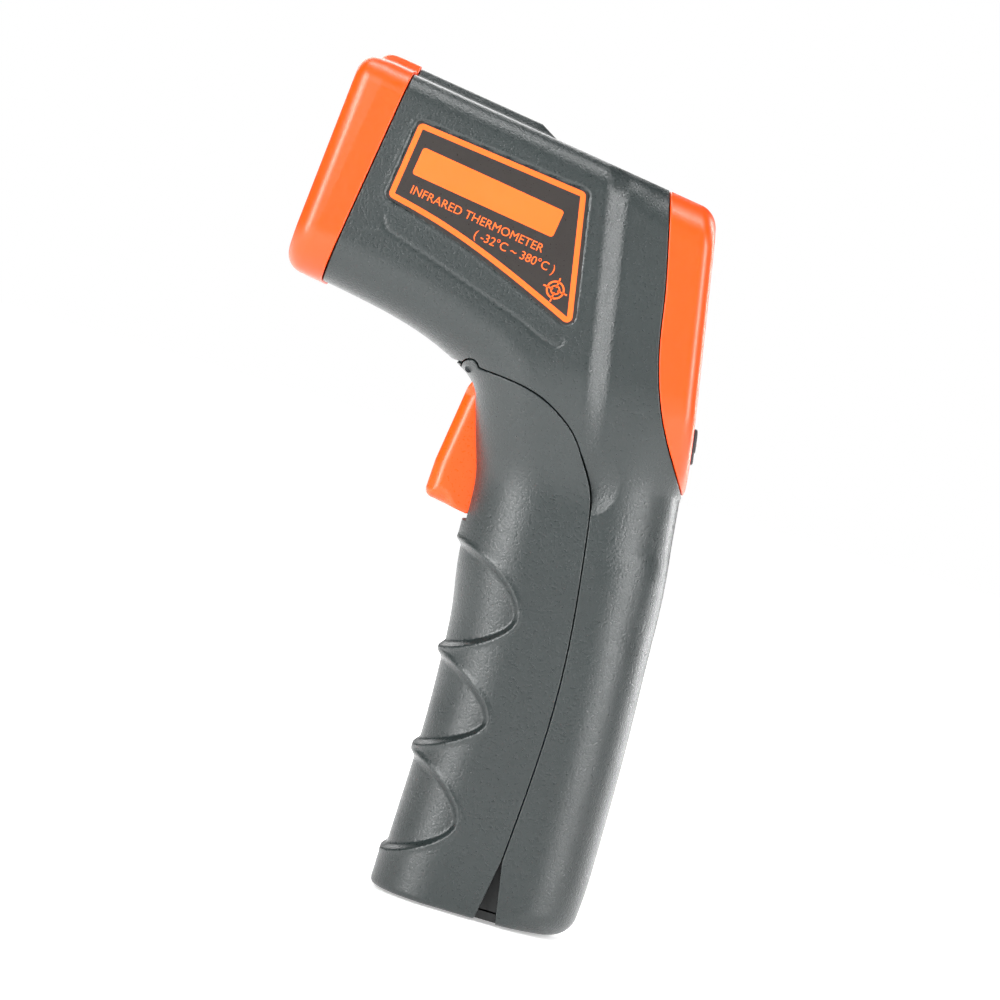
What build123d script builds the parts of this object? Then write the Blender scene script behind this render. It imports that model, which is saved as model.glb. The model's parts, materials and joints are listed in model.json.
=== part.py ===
from build123d import *
from functools import lru_cache
import math
import os

# Pistol-grip infrared thermometer, in millimetres.
# Row frame: the origin is the centre of the grip's base face, +Z up, +X towards the nose, +Y to the left.
# Barrel frame: the origin is on the optical axis at the nose face, x forward, z up, and it is tipped
# nose up by TILT. Face frame: on the display face, x to the user's right, y up the face, z out of it.

# ---------------------------------------------------------------- driving dimensions
TILT = 8.0
NOSE_X = 68.3
NOSE_Z = 134.6
BARREL_HALF = 21.5
HEAD_HALF = 20.0
BARREL_TOP = 22.5
NOSE_BOTTOM = -21.8
FACE_TIP = (-91.6, -31.6)
WALL = 1.8
GAP = 0.2
TOUCH = 0.02
REACH = 40.0

CAP_REAR = -9.5
RIDGE_HEIGHT = 2.0
RIDGE_HALF = 5.5
RIDGE_REAR = -39.5
RIDGE_FRONT = -1.2

BATTERY_SIZE = (26.5, 17.5, 46.4)
BATTERY_X = 0.75
BATTERY_FLOOR = 2.6
TERMINAL_PITCH = 12.7
TERMINAL_HEIGHT = 2.5
CLIP_TOP = 5.6

DOOR_PIVOT = (30.1, 103.2)
DOOR_KNUCKLE = 2.6
DOOR_PIN_RADIUS = 0.8
DOOR_PIN_HALF = 12.9
TRIGGER_PIVOT = (25.4, 101.8)
TRIGGER_HALF = 5.4
TRIGGER_HUB = 3.0
TRIGGER_PIN_RADIUS = 1.0
SLOT_HALF = 6.4
HINGE_SLOT_HALF = 9.3
CHEEK_INNER = 7.0
CHEEK_OUTER = 9.0
RUNNING = 0.05

GROOVE_TIPS = (70.2, 48.5, 28.3, 6.8)
GROOVE_DEPTH = 0.9
GROOVE_REACH = 13.5

WINDOW_SIZE = (25.5, 23.6)
WINDOW_CENTRE = (0.0, 30.75)
BOARD_DEPTH = 8.0
BOARD_THICK = 1.4
KEY_CENTRES = {"laser": (-8.7, 11.6), "unit": (0.0, 9.7), "light": (8.7, 11.6)}
KEY_RISE = 0.9
KEY_GAP = 0.3

TUBE_OUTER = 10.2
TUBE_INNER = 8.5
TUBE_FRONT = -8.6
SENSOR_X = -45.0
LENS_RADIUS = 9.0
LASER_Z = 16.8
LASER_RADIUS = 3.0

BARREL = Pos(NOSE_X, 0, NOSE_Z) * Rot(0, -TILT, 0)
LEAN = math.atan2(18.0, 54.1)
FACE_UP = (math.sin(LEAN), 0, math.cos(LEAN))
FACE_OUT = (-math.cos(LEAN), 0, math.sin(LEAN))
FACE_PLANE = Plane(origin=(FACE_TIP[0], 0, FACE_TIP[1]), x_dir=(0, -1, 0), z_dir=FACE_OUT)
DEPTH_PLANE = Plane(
    origin=(FACE_TIP[0], 0, FACE_TIP[1]),
    x_dir=(math.cos(LEAN), 0, -math.sin(LEAN)),
    z_dir=FACE_UP,
)
FACE = BARREL * FACE_PLANE.location


# ---------------------------------------------------------------- small helpers
def side_plate(wires, low, high):
    """Extrude a closed outline drawn in side view (x, z) from y = low to y = high."""
    outline = make_face(wires)
    return Pos(0, low, 0) * extrude(Plane.XZ * outline, amount=-(high - low))


def side_polygon(points, low=-REACH, high=REACH):
    return side_plate(Polyline(*points, close=True), low, high)


def rod(start, end, radius):
    """Round bar between two points."""
    a, b = Vector(*start), Vector(*end)
    plane = Plane(origin=a, z_dir=(b - a).normalized())
    return extrude(plane * Circle(radius), amount=(b - a).length)


def wire_run(points, radius):
    """Round lead along straight runs joined by the largest tangent arcs that fit them."""
    points = [Vector(*point) for point in points]
    runs = [b - a for a, b in zip(points, points[1:])]
    bends = []
    for before, after in zip(runs, runs[1:]):
        turn = math.radians(before.get_angle(after))
        bends.append(0.45 * min(before.length, after.length) / math.tan(turn / 2))
    path = FilletPolyline(*points, radius=bends)
    start = Plane(origin=path @ 0, z_dir=path % 0)
    return sweep(start * Circle(radius), path=path)


def on_face(x, y, depth):
    """Point at a depth behind the display face, given by where it lies on that face."""
    return (FACE * Pos(x, y, -depth)).position


def in_barrel(x, y, z):
    return (BARREL * Pos(x, y, z)).position


def block(low, high):
    size = [b - a for a, b in zip(low, high)]
    middle = [(a + b) / 2 for a, b in zip(low, high)]
    return Pos(*middle) * Box(*size)


def both(half):
    """The half at +Y together with its mirror image."""
    return half + mirror(half, Plane.XZ)


def largest(shape):
    return max(shape.solids(), key=lambda solid: solid.volume)


# ---------------------------------------------------------------- outer form
def face_x(z, inset):
    """Where the display face, inset by a wall, stands at a height in the barrel frame."""
    return FACE_TIP[0] + (z - FACE_TIP[1]) * math.tan(LEAN) + inset / math.cos(LEAN)


def barrel_half(inset):
    """Left half of the barrel and head, inset all round by a wall thickness."""
    under = [(-9.5, -21.9), (-22, -22.4), (-32, -23.7), (-39, -25.6), (-46, -29.0), (-56, -31.4)]
    top_rear = (face_x(BARREL_TOP - inset, inset), BARREL_TOP - inset)
    top_front = (-inset, BARREL_TOP - inset)
    low_front = (-inset, NOSE_BOTTOM + inset)
    tip = (face_x(FACE_TIP[1] + inset, inset), FACE_TIP[1] + inset)
    raised = [(x, z + inset) for x, z in under]
    outline = [
        Polyline(tip, top_rear, top_front, low_front, raised[0]),
        Spline(*raised),
        Line(raised[-1], tip),
    ]
    half = side_plate(outline, 0, BARREL_HALF - inset)
    step = Polyline(
        (-10, HEAD_HALF - inset),
        (17, HEAD_HALF - inset),
        (23, BARREL_HALF - inset),
        (23, 30),
        (-10, 30),
        close=True,
    )
    half -= extrude(DEPTH_PLANE * make_face(step), amount=90, both=True)
    across = abs(math.sin(LEAN))
    creases = [
        edge
        for edge in half.edges()
        if edge.geom_type == GeomType.LINE
        and abs(abs(edge.tangent_at(0.5).X) - across) < 0.02
        and edge.center().Y > HEAD_HALF - inset - 0.1
        and edge.center().X > -80
    ]
    half = fillet(creases, 5.0)
    top = [
        edge
        for edge in half.edges()
        if abs(edge.center().Z - (BARREL_TOP - inset)) < 0.05
        and edge.center().Y > HEAD_HALF - inset - 0.1
        and abs(edge.tangent_at(0.5).X) > 0.3
    ]
    half = fillet(top, 5.0 - inset / 2)
    low = [
        edge
        for edge in half.edges()
        if edge.center().Z < -21 + inset
        and edge.center().Y > BARREL_HALF - inset - 0.1
        and abs(edge.tangent_at(0.5).Y) < 0.1
        and edge.center().X > -60
    ]
    half = fillet(low, 10.0 - inset)
    nose = [
        edge
        for edge in half.edges()
        if abs(edge.center().X + inset) < 0.05 and edge.center().Y > 0.5
    ]
    return fillet(nose, 3.0 - inset / 2)


def head_prism(inset):
    """The display head seen square to its face: a half ellipse below straight sides."""
    wide = BARREL_HALF - inset
    low = 20.0 - inset
    outline = [
        EllipticalCenterArc((0, 20), wide, low, start_angle=180, arc_size=180),
        Polyline((wide, 20), (wide, 90), (-wide, 90), (-wide, 20)),
    ]
    face = FACE_PLANE * make_face(outline)
    return extrude(face, amount=-120) + extrude(face, amount=5)


def grip_half(inset):
    """Left half of the grip, lofted through rounded sections from its foot to inside the barrel."""
    sections = [
        (0, -20.6, 20.3, 15.3),
        (18, -21.5, 20.3, 15.5),
        (40, -21.3, 20.0, 15.7),
        (60, -20.2, 20.8, 15.9),
        (74, -19.2, 23.2, 16.1),
        (90, -17.5, 25.4, 16.3),
        (106, -13.4, 30.0, 16.5),
    ]
    faces = []
    for height, rear, front, half in sections:
        rear += inset
        front -= inset
        half -= inset
        bend = min(13.5 - inset, half - 1.0)
        outline = [
            Line((rear, 0), (rear, half - bend)),
            CenterArc((rear + bend, half - bend), bend, 180, -90),
            Line((rear + bend, half), (front - bend, half)),
            CenterArc((front - bend, half - bend), bend, 90, -90),
            Line((front, half - bend), (front, 0)),
            Line((front, 0), (rear, 0)),
        ]
        faces.append(Plane.XY.offset(height) * make_face(outline))
    return loft(faces)


@lru_cache(maxsize=None)
def body_half(inset):
    """Left half of the whole case form."""
    behind_face = extrude(FACE_PLANE.offset(-inset) * Rectangle(200, 300), amount=60)
    barrel = BARREL * (barrel_half(inset) & head_prism(inset))
    return barrel + (grip_half(inset) - BARREL * behind_face)


def floor_cut(inset):
    return block((-REACH, -REACH, -5), (REACH, REACH, inset))


# ---------------------------------------------------------------- seams between the shells
def cap_region(shift=0.0):
    return BARREL * block((CAP_REAR - shift, -REACH, -REACH), (5, REACH, REACH))


def bezel_region(shift=0.0):
    """Everything behind the curved seam between the orange bezel and the case."""
    seam = [
        (-63.5, 22.5),
        (-67.4, 12.4),
        (-71, 3),
        (-73.6, -5),
        (-76.6, -12.2),
        (-80.4, -19),
        (-85, -25),
        (-90, -30.4),
        (-91.8, -32.0),
    ]
    outline = [
        Spline(*seam),
        Polyline(seam[-1], (-110, -46), (-110, 40), (-63.5, 40), seam[0]),
    ]
    forward = Pos(shift * math.cos(LEAN), 0, -shift * math.sin(LEAN))
    return BARREL * forward * side_plate(outline, -REACH, REACH)


DOOR_SEAM = [
    (-3.4, 12.4),
    (-4.4, 29.4),
    (-4.7, 41.5),
    (-4.4, 51.6),
    (-3.5, 61.9),
    (-2.2, 72.1),
    (-0.9, 80.9),
    (0.7, 87.2),
    (3.6, 92.1),
    (7.0, 96.7),
    (10.6, 99.5),
    (15.3, 101.9),
    (22.2, 103.3),
    (29.2, 103.8),
    (33.6, 103.8),
]


def door_region(foot, shift=0.0):
    """Everything in front of the door seam; foot is where the notch edge meets the base."""
    first = DOOR_SEAM[0]
    last = DOOR_SEAM[-1]
    outline = [
        Spline(*DOOR_SEAM),
        Polyline(last, (60, last[1]), (60, -5), (foot, -5), (foot, 0), first),
    ]
    return Pos(-shift, 0, shift) * side_plate(outline, -REACH, REACH)


def round_at_pivot(radius, low=-REACH, high=REACH):
    x, z = DOOR_PIVOT
    return rod((x, low, z), (x, high, z), radius)


# ---------------------------------------------------------------- case shells
def ridge():
    """Sighting ridge on the barrel's top, with concave flanks and a sloped rear end."""
    top = BARREL_TOP
    flank = Spline(
        (-RIDGE_HALF, top - 0.3),
        (-3.6, top + 0.45),
        (-2.0, top + 1.6),
        (0, top + RIDGE_HEIGHT),
        (2.0, top + 1.6),
        (3.6, top + 0.45),
        (RIDGE_HALF, top - 0.3),
    )
    outline = [flank, Line((RIDGE_HALF, top - 0.3), (-RIDGE_HALF, top - 0.3))]
    section = Plane.YZ.offset(RIDGE_REAR) * make_face(outline)
    bar = extrude(section, amount=RIDGE_FRONT - RIDGE_REAR)
    slope = [
        (RIDGE_REAR - 1, top - 0.4),
        (RIDGE_REAR + 4.5, top + RIDGE_HEIGHT + 0.2),
        (RIDGE_REAR - 1, top + 4),
    ]
    return BARREL * (bar - side_polygon(slope))


def label_outline(grow):
    """Face of the side label in the barrel's side view, grown all round."""
    top_rear = (-49.3 - grow, 14.8 + grow)
    top_front = (-13.6 + grow, 13.9 + grow)
    low_front = (-13.8 + grow, -2.2 - grow)
    tip = (-56.6 - grow, -10.8 - grow)
    bottom = Spline(low_front, (-24, -3.6 - grow), (-38, -6.4 - grow), tip)
    outline = [bottom, Polyline(tip, (-57.6 - grow, -9.2), top_rear, top_front, low_front)]
    return outline


def label_plate(low, high, grow=0.0):
    return BARREL * side_plate(label_outline(grow), low, high)


def bulkhead(x):
    """Rib across the left half of the barrel that carries the lens tube and the laser."""
    rib = BARREL * block((x - 0.75, 0, -30), (x + 0.75, REACH, 30))
    return rib


def cheek(low, high):
    """Inner web between the grip's rear wall and the two pivots at the top of the trigger."""
    points = [
        (-19, 60.5),
        (0.5, 60.5),
        (13.5, 72.0),
        (19.4, 80.0),
        (20.4, 88.0),
        (21.2, 91.5),
        (21.7, 98.5),
        (24.6, 99.0),
        (31.5, 99.9),
        (33.1, 102.6),
        (33.1, 105.6),
        (0.0, 105.6),
        (-4.5, 88.0),
        (-19, 84.0),
    ]
    return side_polygon(points, low, high)


CASE_SCREWS = [
    ("barrel", -6.4, -15.3),
    ("barrel", -50.0, 1.5),
    ("grip", 4.2, 67.5),
    ("grip", 10.0, 77.0),
]
SCREW_BOSS = 2.5


def screw_place(kind, x, z):
    frame = BARREL if kind == "barrel" else Pos(0, 0, 0)
    return frame * Pos(x, 0, z)


def along_y(radius, low, high):
    return rod((0, low, 0), (0, high, 0), radius)


def case_half():
    """Left shell of the case with its ribs, neck, bosses and inner web."""
    outer = body_half(0)
    inner = body_half(WALL) - floor_cut(WALL)
    shell = outer - inner
    shell += ridge() & block((-100, 0, 0), (100, REACH, 200))
    shell -= cap_region(GAP) + bezel_region(GAP) + door_region(-5.7, GAP)
    shell -= round_at_pivot(DOOR_KNUCKLE + 0.35)

    brow = outer & block((28.6, 0, 99), (34.6, CHEEK_OUTER, 106.5))
    x, z = TRIGGER_PIVOT
    shell += brow - rod((x, 0, z), (x, TRIGGER_HALF + 0.5, z), TRIGGER_HUB + 0.9)

    neck_outer = body_half(WALL + 0.15)
    neck_inner = body_half(WALL + 1.4)
    neck = (neck_outer - neck_inner) & (BARREL * block((-13, 0, -40), (-3.5, REACH, 40)))
    joiner = (outer - neck_inner) & (BARREL * block((-13, 0, -40), (-11, REACH, 40)))
    shell += neck + joiner

    slack = body_half(WALL - 0.6)
    ribs = (bulkhead(-15.6) + bulkhead(-34)) & slack
    tube = BARREL * rod((-50, 0, 0), (0, 0, 0), TUBE_OUTER + TOUCH)
    laser = BARREL * rod((-50, 0, LASER_Z), (0, 0, LASER_Z), LASER_RADIUS + TOUCH)
    lead_path = BARREL * block((-40, 0, 12.5), (-30, 3.2, 30))
    shell += ribs - tube - laser - lead_path

    cradle = block((-22, 0, 11), (-12.9, REACH, 12.5))
    cradle += block((-22, 0, 29), (-12.9, REACH, 30.5))
    cradle += block((-22, 0, 45), (-12.9, REACH, 46.5))
    cradle += block((-22, 0, 57.2), (-5.6, REACH, 58.7))
    shell += cradle & slack & block((-30, 0, 1), (-4.9, REACH, 70))

    notch_inner = body_half(WALL + 1.4)
    backing = (body_half(WALL + 0.3) - notch_inner) & block((-8.5, 0, 0), (0.5, REACH, 13.5))
    backing += (outer - notch_inner) & block((-8.5, 0, 0), (-6.2, REACH, 12.5))
    backing += block((-8, 0, 0), (0.5, 13.0, WALL))
    shell += backing - (door_region(0.9, GAP) & floor_cut(WALL + GAP))

    web = cheek(CHEEK_INNER, CHEEK_OUTER) & body_half(0.4)
    web += block((11.0, 0, 80.2), (12.2, CHEEK_OUTER, 87.4))
    shell += web

    for place in CASE_SCREWS:
        depth = REACH if place[0] == "barrel" else CHEEK_OUTER
        boss = screw_place(*place) * along_y(SCREW_BOSS, 0, depth)
        shell += boss & (neck_outer if place[1] == CASE_SCREWS[0][1] else slack)
    shell -= label_plate(BARREL_HALF - 0.35, REACH, 0.5)
    x, y = BOARD_SCREWS[-1]
    return shell - laser - FACE * post(x, y, -BOARD_DEPTH - 4, 0, 2.4)


def drill_common(shell):
    """Holes that both shells share: pivot pins and the trigger board's slots."""
    x, z = TRIGGER_PIVOT
    shell -= rod((x, -REACH, z), (x, REACH, z), TRIGGER_PIN_RADIUS + TOUCH)
    x, z = DOOR_PIVOT
    shell -= rod((x, -REACH, z), (x, REACH, z), DOOR_PIN_RADIUS + TOUCH)
    return shell - trigger_board_block(TOUCH)


def make_body_left():
    shell = drill_common(case_half())
    for place in CASE_SCREWS:
        shell -= screw_place(*place) * along_y(0.82, -1, 7)
    return largest(shell & block((-100, 0.03, -1), (100, REACH, 200)))


def make_body_right():
    shell = drill_common(mirror(case_half(), Plane.XZ))
    for place in CASE_SCREWS:
        head = 16.0 if place[0] == "barrel" else 8.0
        shell -= screw_place(*place) * along_y(1.15, -head, 1)
        shell -= screw_place(*place) * along_y(2.0, -REACH, -head)
    return largest(shell & block((-100, -REACH, -1), (100, -0.03, 200)))


def make_case_screws():
    screws = []
    for place in CASE_SCREWS:
        head = 16.0 if place[0] == "barrel" else 8.0
        screw = along_y(0.8, -head, 6) + along_y(1.8, -head - 1.3, -head)
        slot = block((-0.3, -head - 1.4, -1.5), (0.3, -head - 0.8, 1.5))
        slot += block((-1.5, -head - 1.4, -0.3), (1.5, -head - 0.8, 0.3))
        screws.append(screw_place(*place) * (screw - slot))
    return Compound(children=screws)


def make_front_cap():
    """Orange nose cap with the lens opening and the laser opening."""
    cap = both((body_half(0) - body_half(WALL)) & cap_region())
    cap += ridge() & cap_region()
    cap -= BARREL * rod((-5, 0, 0), (1, 0, 0), 12.1)
    cap -= BARREL * rod((-5, 0, LASER_Z), (1, 0, LASER_Z), 2.0)
    edge = [e for e in cap.edges() if e.geom_type == GeomType.CIRCLE and abs(e.radius - 12.1) < 0.01]
    front = max(edge, key=lambda e: e.center().X)
    return largest(chamfer(front, 0.5))


def window_box(grow, low, high):
    width, height = WINDOW_SIZE
    outline = RectangleRounded(width + 2 * grow, height + 2 * grow, 1.2)
    return Pos(*WINDOW_CENTRE, low) * extrude(outline, amount=high - low)


def key_outline(name, grow):
    """Rounded triangle: the outer keys point down and the middle key points up."""
    wide, tall, corner, up = (6.0, 7.0, 1.8, 1) if name == "unit" else (5.0, 5.7, 1.5, -1)
    base = -0.42 * tall * up
    points = [(-wide, base), (wide, base), (0, base + tall * up)]
    face = make_face(Polyline(*points, close=True))
    return offset(fillet(face.vertices(), corner), grow)


def key_block(name, grow, low, high):
    x, y = KEY_CENTRES[name]
    return Pos(x, y, low) * extrude(key_outline(name, grow), amount=high - low)


def post(x, y, low, high, radius):
    return rod((x, y, low), (x, y, high), radius)


BOARD_SCREWS = [(-12.9, 49.6), (12.9, 49.6), (0.0, 3.7)]


def make_rear_bezel():
    """Orange display bezel: face plate, skirt, window opening, key openings and board posts."""
    bezel = both((body_half(0) - body_half(WALL)) & bezel_region())
    dish = Polyline((-13.9, 17), (13.9, 17), (15.6, 45.4), (-15.6, 45.4), close=True)
    dish = fillet(make_face(dish).vertices(), 1.6)
    bezel -= FACE * Pos(0, 0, -0.4) * extrude(dish, amount=2)
    bezel -= FACE * window_box(0, -3, 1)
    bezel -= FACE * window_box(1.1, -3, -1.0)
    for name in KEY_CENTRES:
        bezel -= FACE * key_block(name, KEY_GAP, -3, 1)
        bezel -= FACE * key_block(name, 0.8, -0.35, 1)
    for x, y in BOARD_SCREWS:
        radius = 1.6 if x == 0 else 2.0
        bezel += FACE * post(x, y, -BOARD_DEPTH, -WALL + 0.3, radius)
        bezel -= FACE * post(x, y, -BOARD_DEPTH - 1, -3.4, 0.82)
    return largest(bezel)


def groove_arch(top, bottom):
    """Side-view outline of one finger hollow, open towards the front of the grip."""
    middle = (top + bottom) / 2 - 1.0
    apex = 20.3 - GROOVE_REACH
    arch = Spline(
        (27, top + 0.8),
        (19.5, top - 0.6),
        (11.5, top - 4.6),
        (apex, middle),
        (12.0, bottom + 4.2),
        (19.5, bottom + 0.6),
        (27, bottom - 1.6),
    )
    return [arch, Line((27, bottom - 1.6), (27, top + 0.8))]


def make_battery_door():
    """Front of the grip: swings open on the pin above the trigger."""
    outer = body_half(0)
    door = both((outer - (body_half(WALL) - floor_cut(WALL))) & door_region(0.9))
    skin = both(outer - body_half(GROOVE_DEPTH))
    for top, bottom in zip(GROOVE_TIPS, GROOVE_TIPS[1:]):
        door -= skin & side_plate(groove_arch(top, bottom), -REACH, REACH)
    x, z = DOOR_PIVOT
    beyond = side_polygon([(x, z - 6), (50, z - 6), (50, z + 8), (x - 1.2, z + 8), (x - 1.2, z)])
    door -= beyond - round_at_pivot(DOOR_KNUCKLE)
    door -= block((15, -SLOT_HALF, GROOVE_TIPS[0] + 4.2), (60, SLOT_HALF, 110))
    door -= block((20, -HINGE_SLOT_HALF, 98.3), (60, HINGE_SLOT_HALF, 110))
    knuckle = round_at_pivot(DOOR_KNUCKLE, 9.6, 13.4)
    door += both(knuckle & outer)
    door -= round_at_pivot(DOOR_PIN_RADIUS + RUNNING, -DOOR_PIN_HALF - 0.4, DOOR_PIN_HALF + 0.4)
    return largest(door)


def make_door_pin():
    return round_at_pivot(DOOR_PIN_RADIUS, -DOOR_PIN_HALF, DOOR_PIN_HALF)


# ---------------------------------------------------------------- trigger and its switch
def make_trigger():
    """Curved orange blade that hangs from its pin and pushes on the switch behind it."""
    x, z = TRIGGER_PIVOT
    outline = Polyline(
        (22.9, 75.6),
        (31.0, 76.5),
        (32.3, 78.4),
        (29.2, 100.3),
        (x + 2.0, z + 1.5),
        (x - 3.2, z - 1.5),
        (18.35, 95.5),
        (18.35, 87.6),
        (20.0, 86.6),
        (20.4, 81.4),
        close=True,
    )
    blade = side_plate(outline, -TRIGGER_HALF, TRIGGER_HALF)
    blade += rod((x, -TRIGGER_HALF, z), (x, TRIGGER_HALF, z), TRIGGER_HUB)
    front = [
        edge
        for edge in blade.edges()
        if abs(abs(edge.center().Y) - TRIGGER_HALF) < 0.01
        and edge.center().X > 26.0
        and edge.center().Z < 98
    ]
    blade = fillet(front, 2.4)
    blade -= rod((x, -10, z), (x, 10, z), TRIGGER_PIN_RADIUS + RUNNING)
    return largest(blade)


def make_trigger_pin():
    x, z = TRIGGER_PIVOT
    return rod((x, -CHEEK_OUTER + 0.2, z), (x, CHEEK_OUTER - 0.2, z), TRIGGER_PIN_RADIUS)


SPRING_Z = 84.0
SPRING_FROM = 12.3
SPRING_TO = 19.9
SPRING_RADIUS = 2.2


def make_trigger_spring():
    """Compression spring between the inner web's rib and the blade's back."""
    length = SPRING_TO - SPRING_FROM - 0.7
    coil = Helix(pitch=1.3, height=length, radius=SPRING_RADIUS)
    start = Plane(origin=coil @ 0, z_dir=coil % 0)
    wire = sweep(start * Circle(0.26), path=coil, is_frenet=True)
    return Pos(SPRING_FROM + 0.35, 0, SPRING_Z) * Rot(0, 90, 0) * wire


def trigger_board_block(grow=0.0):
    return block((6.8 - grow, -8.2 - grow, 83.5 - grow), (8.0 + grow, 8.2 + grow, 99.0 + grow))


SWITCH_Z = 91.8
PLUNGER_TIP = 18.3


def make_trigger_switch():
    case = block((8.0, -6.0, 88.4), (14.0, 6.0, 95.2))
    case -= rod((9.5, 0, SWITCH_Z), (15, 0, SWITCH_Z), 1.35)
    return chamfer(case.edges().filter_by(Axis.Y), 0.3)


def make_switch_plunger():
    stem = rod((11.3, 0, SWITCH_Z), (PLUNGER_TIP - 1.2, 0, SWITCH_Z), 1.2)
    return largest(stem + Pos(PLUNGER_TIP - 1.2, 0, SWITCH_Z) * Sphere(1.2))


# ---------------------------------------------------------------- keys, display and main board
def make_key(name):
    x, y = KEY_CENTRES[name]
    key = key_block(name, 0, -WALL - 0.15, KEY_RISE)
    rim = [edge for edge in key.edges() if abs(edge.center().Z - KEY_RISE) < 0.01]
    key = fillet(rim, 0.5)
    key += key_block(name, 0.6, -WALL - 0.8, -WALL - 0.1)
    key += post(x, y, -6.4, -WALL - 0.5, 1.9)
    return largest(FACE * key)


def make_pill(name):
    x, y = KEY_CENTRES[name]
    return FACE * post(x, y, -7.0, -6.4, 1.5)


def make_keypad_mat():
    outline = Polyline(
        (-6.2, 5.6),
        (6.2, 5.6),
        (13.4, 9.4),
        (13.4, 15.2),
        (-13.4, 15.2),
        (-13.4, 9.4),
        close=True,
    )
    mat = Pos(0, 0, -BOARD_DEPTH) * extrude(make_face(outline), amount=0.9)
    for x, y in KEY_CENTRES.values():
        mat -= post(x, y, -10, 0, 2.6)
    return FACE * mat


def make_display_window():
    return FACE * window_box(1.0, -1.7, -1.05)


def make_lcd_glass():
    return FACE * block((-14.5, 16.6, -3.8), (14.5, 44.6, -2.0))


def make_lcd_backlight():
    return FACE * block((-13.0, 19.5, -6.4), (13.0, 44.0, -3.85))


def make_lcd_holder():
    holder = block((-16, 15.6, -7.95), (16, 45.8, -1.9))
    holder -= block((-14.6, 16.5, -3.82), (14.6, 44.7, 0))
    holder -= block((-13.1, 19.4, -6.42), (13.1, 44.1, 0))
    holder -= block((-12.6, 16.9, -9), (12.6, 19.0, 0))
    return FACE * holder


def make_zebra_strip():
    return FACE * block((-12.5, 17.0, -BOARD_DEPTH), (12.5, 18.9, -3.84))


def make_main_board():
    outline = Polyline(
        (-4.5, 2.3),
        (4.5, 2.3),
        (10, 5.5),
        (15.5, 11),
        (15.5, 52.5),
        (-15.5, 52.5),
        (-15.5, 11),
        (-10, 5.5),
        close=True,
    )
    board = Pos(0, 0, -BOARD_DEPTH - BOARD_THICK) * extrude(make_face(outline), amount=BOARD_THICK)
    for x, y in BOARD_SCREWS:
        board -= post(x, y, -12, -6, 1.0)
    return FACE * board


def make_board_chips():
    """Controller, amplifier, crystal, lead socket and small capacitors behind the board."""
    back = -BOARD_DEPTH - BOARD_THICK
    parts = [
        block((-6.0, 27.0, back - 1.5), (6.0, 39.0, back)),
        block((-12.0, 18.0, back - 1.6), (-7.0, 24.0, back)),
        post(10.5, 24.0, back - 3.2, back, 1.6),
        block((-6.0, 44.5, back - 3.0), (6.0, 49.0, back)),
        block((6.0, 11.0, back - 2.2), (12.0, 14.0, back)),
    ]
    for step in range(4):
        parts.append(block((-12.8, 29 + 3 * step, back - 0.8), (-11.0, 30 + 3 * step, back)))
        parts.append(block((10.6, 29 + 3 * step, back - 0.8), (12.4, 30 + 3 * step, back)))
    return Compound(children=[FACE * part for part in parts])


def make_board_screws():
    back = -BOARD_DEPTH - BOARD_THICK
    screws = []
    for x, y in BOARD_SCREWS:
        screw = post(x, y, back, -4.4, 0.8) + post(x, y, back - 1.1, back, 1.6)
        screw -= block((x - 1.2, y - 0.25, back - 2), (x + 1.2, y + 0.25, back - 0.6))
        screws.append(FACE * screw)
    return Compound(children=screws)


# ---------------------------------------------------------------- optics and laser
def make_lens_hood():
    """Black funnel between the nose opening and the lens."""
    body = rod((TUBE_FRONT, 0, 0), (-0.5, 0, 0), TUBE_OUTER)
    body += rod((-3.4, 0, 0), (-0.5, 0, 0), 12.0)
    cone = Plane.YZ.offset(TUBE_FRONT - 0.01) * Circle(8.2)
    mouth = Plane.YZ.offset(-0.49) * Circle(11.0)
    return BARREL * largest(body - loft([cone, mouth]))


def make_fresnel_lens():
    return BARREL * rod((TUBE_FRONT - 1.0, 0, 0), (TUBE_FRONT - 0.02, 0, 0), LENS_RADIUS)


SENSOR_SCREWS = [(8.2, -8.2), (-8.2, 8.2)]


def make_lens_tube():
    tube = rod((SENSOR_X, 0, 0), (TUBE_FRONT, 0, 0), TUBE_OUTER)
    for y, z in SENSOR_SCREWS:
        tube += rod((SENSOR_X, y, z), (SENSOR_X + 6, y, z), 2.1)
    tube -= rod((-41.6, 0, 0), (0, 0, 0), TUBE_INNER)
    tube -= rod((TUBE_FRONT - 1.02, 0, 0), (0, 0, 0), LENS_RADIUS + TOUCH)
    tube -= rod((-60, 0, 0), (-43.2, 0, 0), TUBE_INNER)
    tube -= rod((-60, 0, 0), (0, 0, 0), 4.5)
    for y, z in SENSOR_SCREWS:
        tube -= rod((SENSOR_X - 1, y, z), (SENSOR_X + 5, y, z), 0.82)
    return BARREL * largest(tube)


def make_thermopile_base():
    return BARREL * rod((SENSOR_X, 0, 0), (SENSOR_X + 0.6, 0, 0), 4.6)


def make_thermopile_can():
    can = rod((SENSOR_X + 0.6, 0, 0), (SENSOR_X + 4.2, 0, 0), 4.1)
    can -= rod((SENSOR_X + 0.5, 0, 0), (SENSOR_X + 3.9, 0, 0), 3.8)
    can -= rod((SENSOR_X, 0, 0), (SENSOR_X + 9, 0, 0), 1.7)
    return BARREL * can


def make_infrared_filter():
    return BARREL * rod((SENSOR_X + 3.4, 0, 0), (SENSOR_X + 3.88, 0, 0), 2.4)


def make_thermopile_pins():
    pins = []
    for turn in range(4):
        angle = math.radians(45 + 90 * turn)
        y, z = 2.54 * math.cos(angle), 2.54 * math.sin(angle)
        pins.append(BARREL * rod((SENSOR_X - 2.2, y, z), (SENSOR_X, y, z), 0.22))
    return Compound(children=pins)


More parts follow.
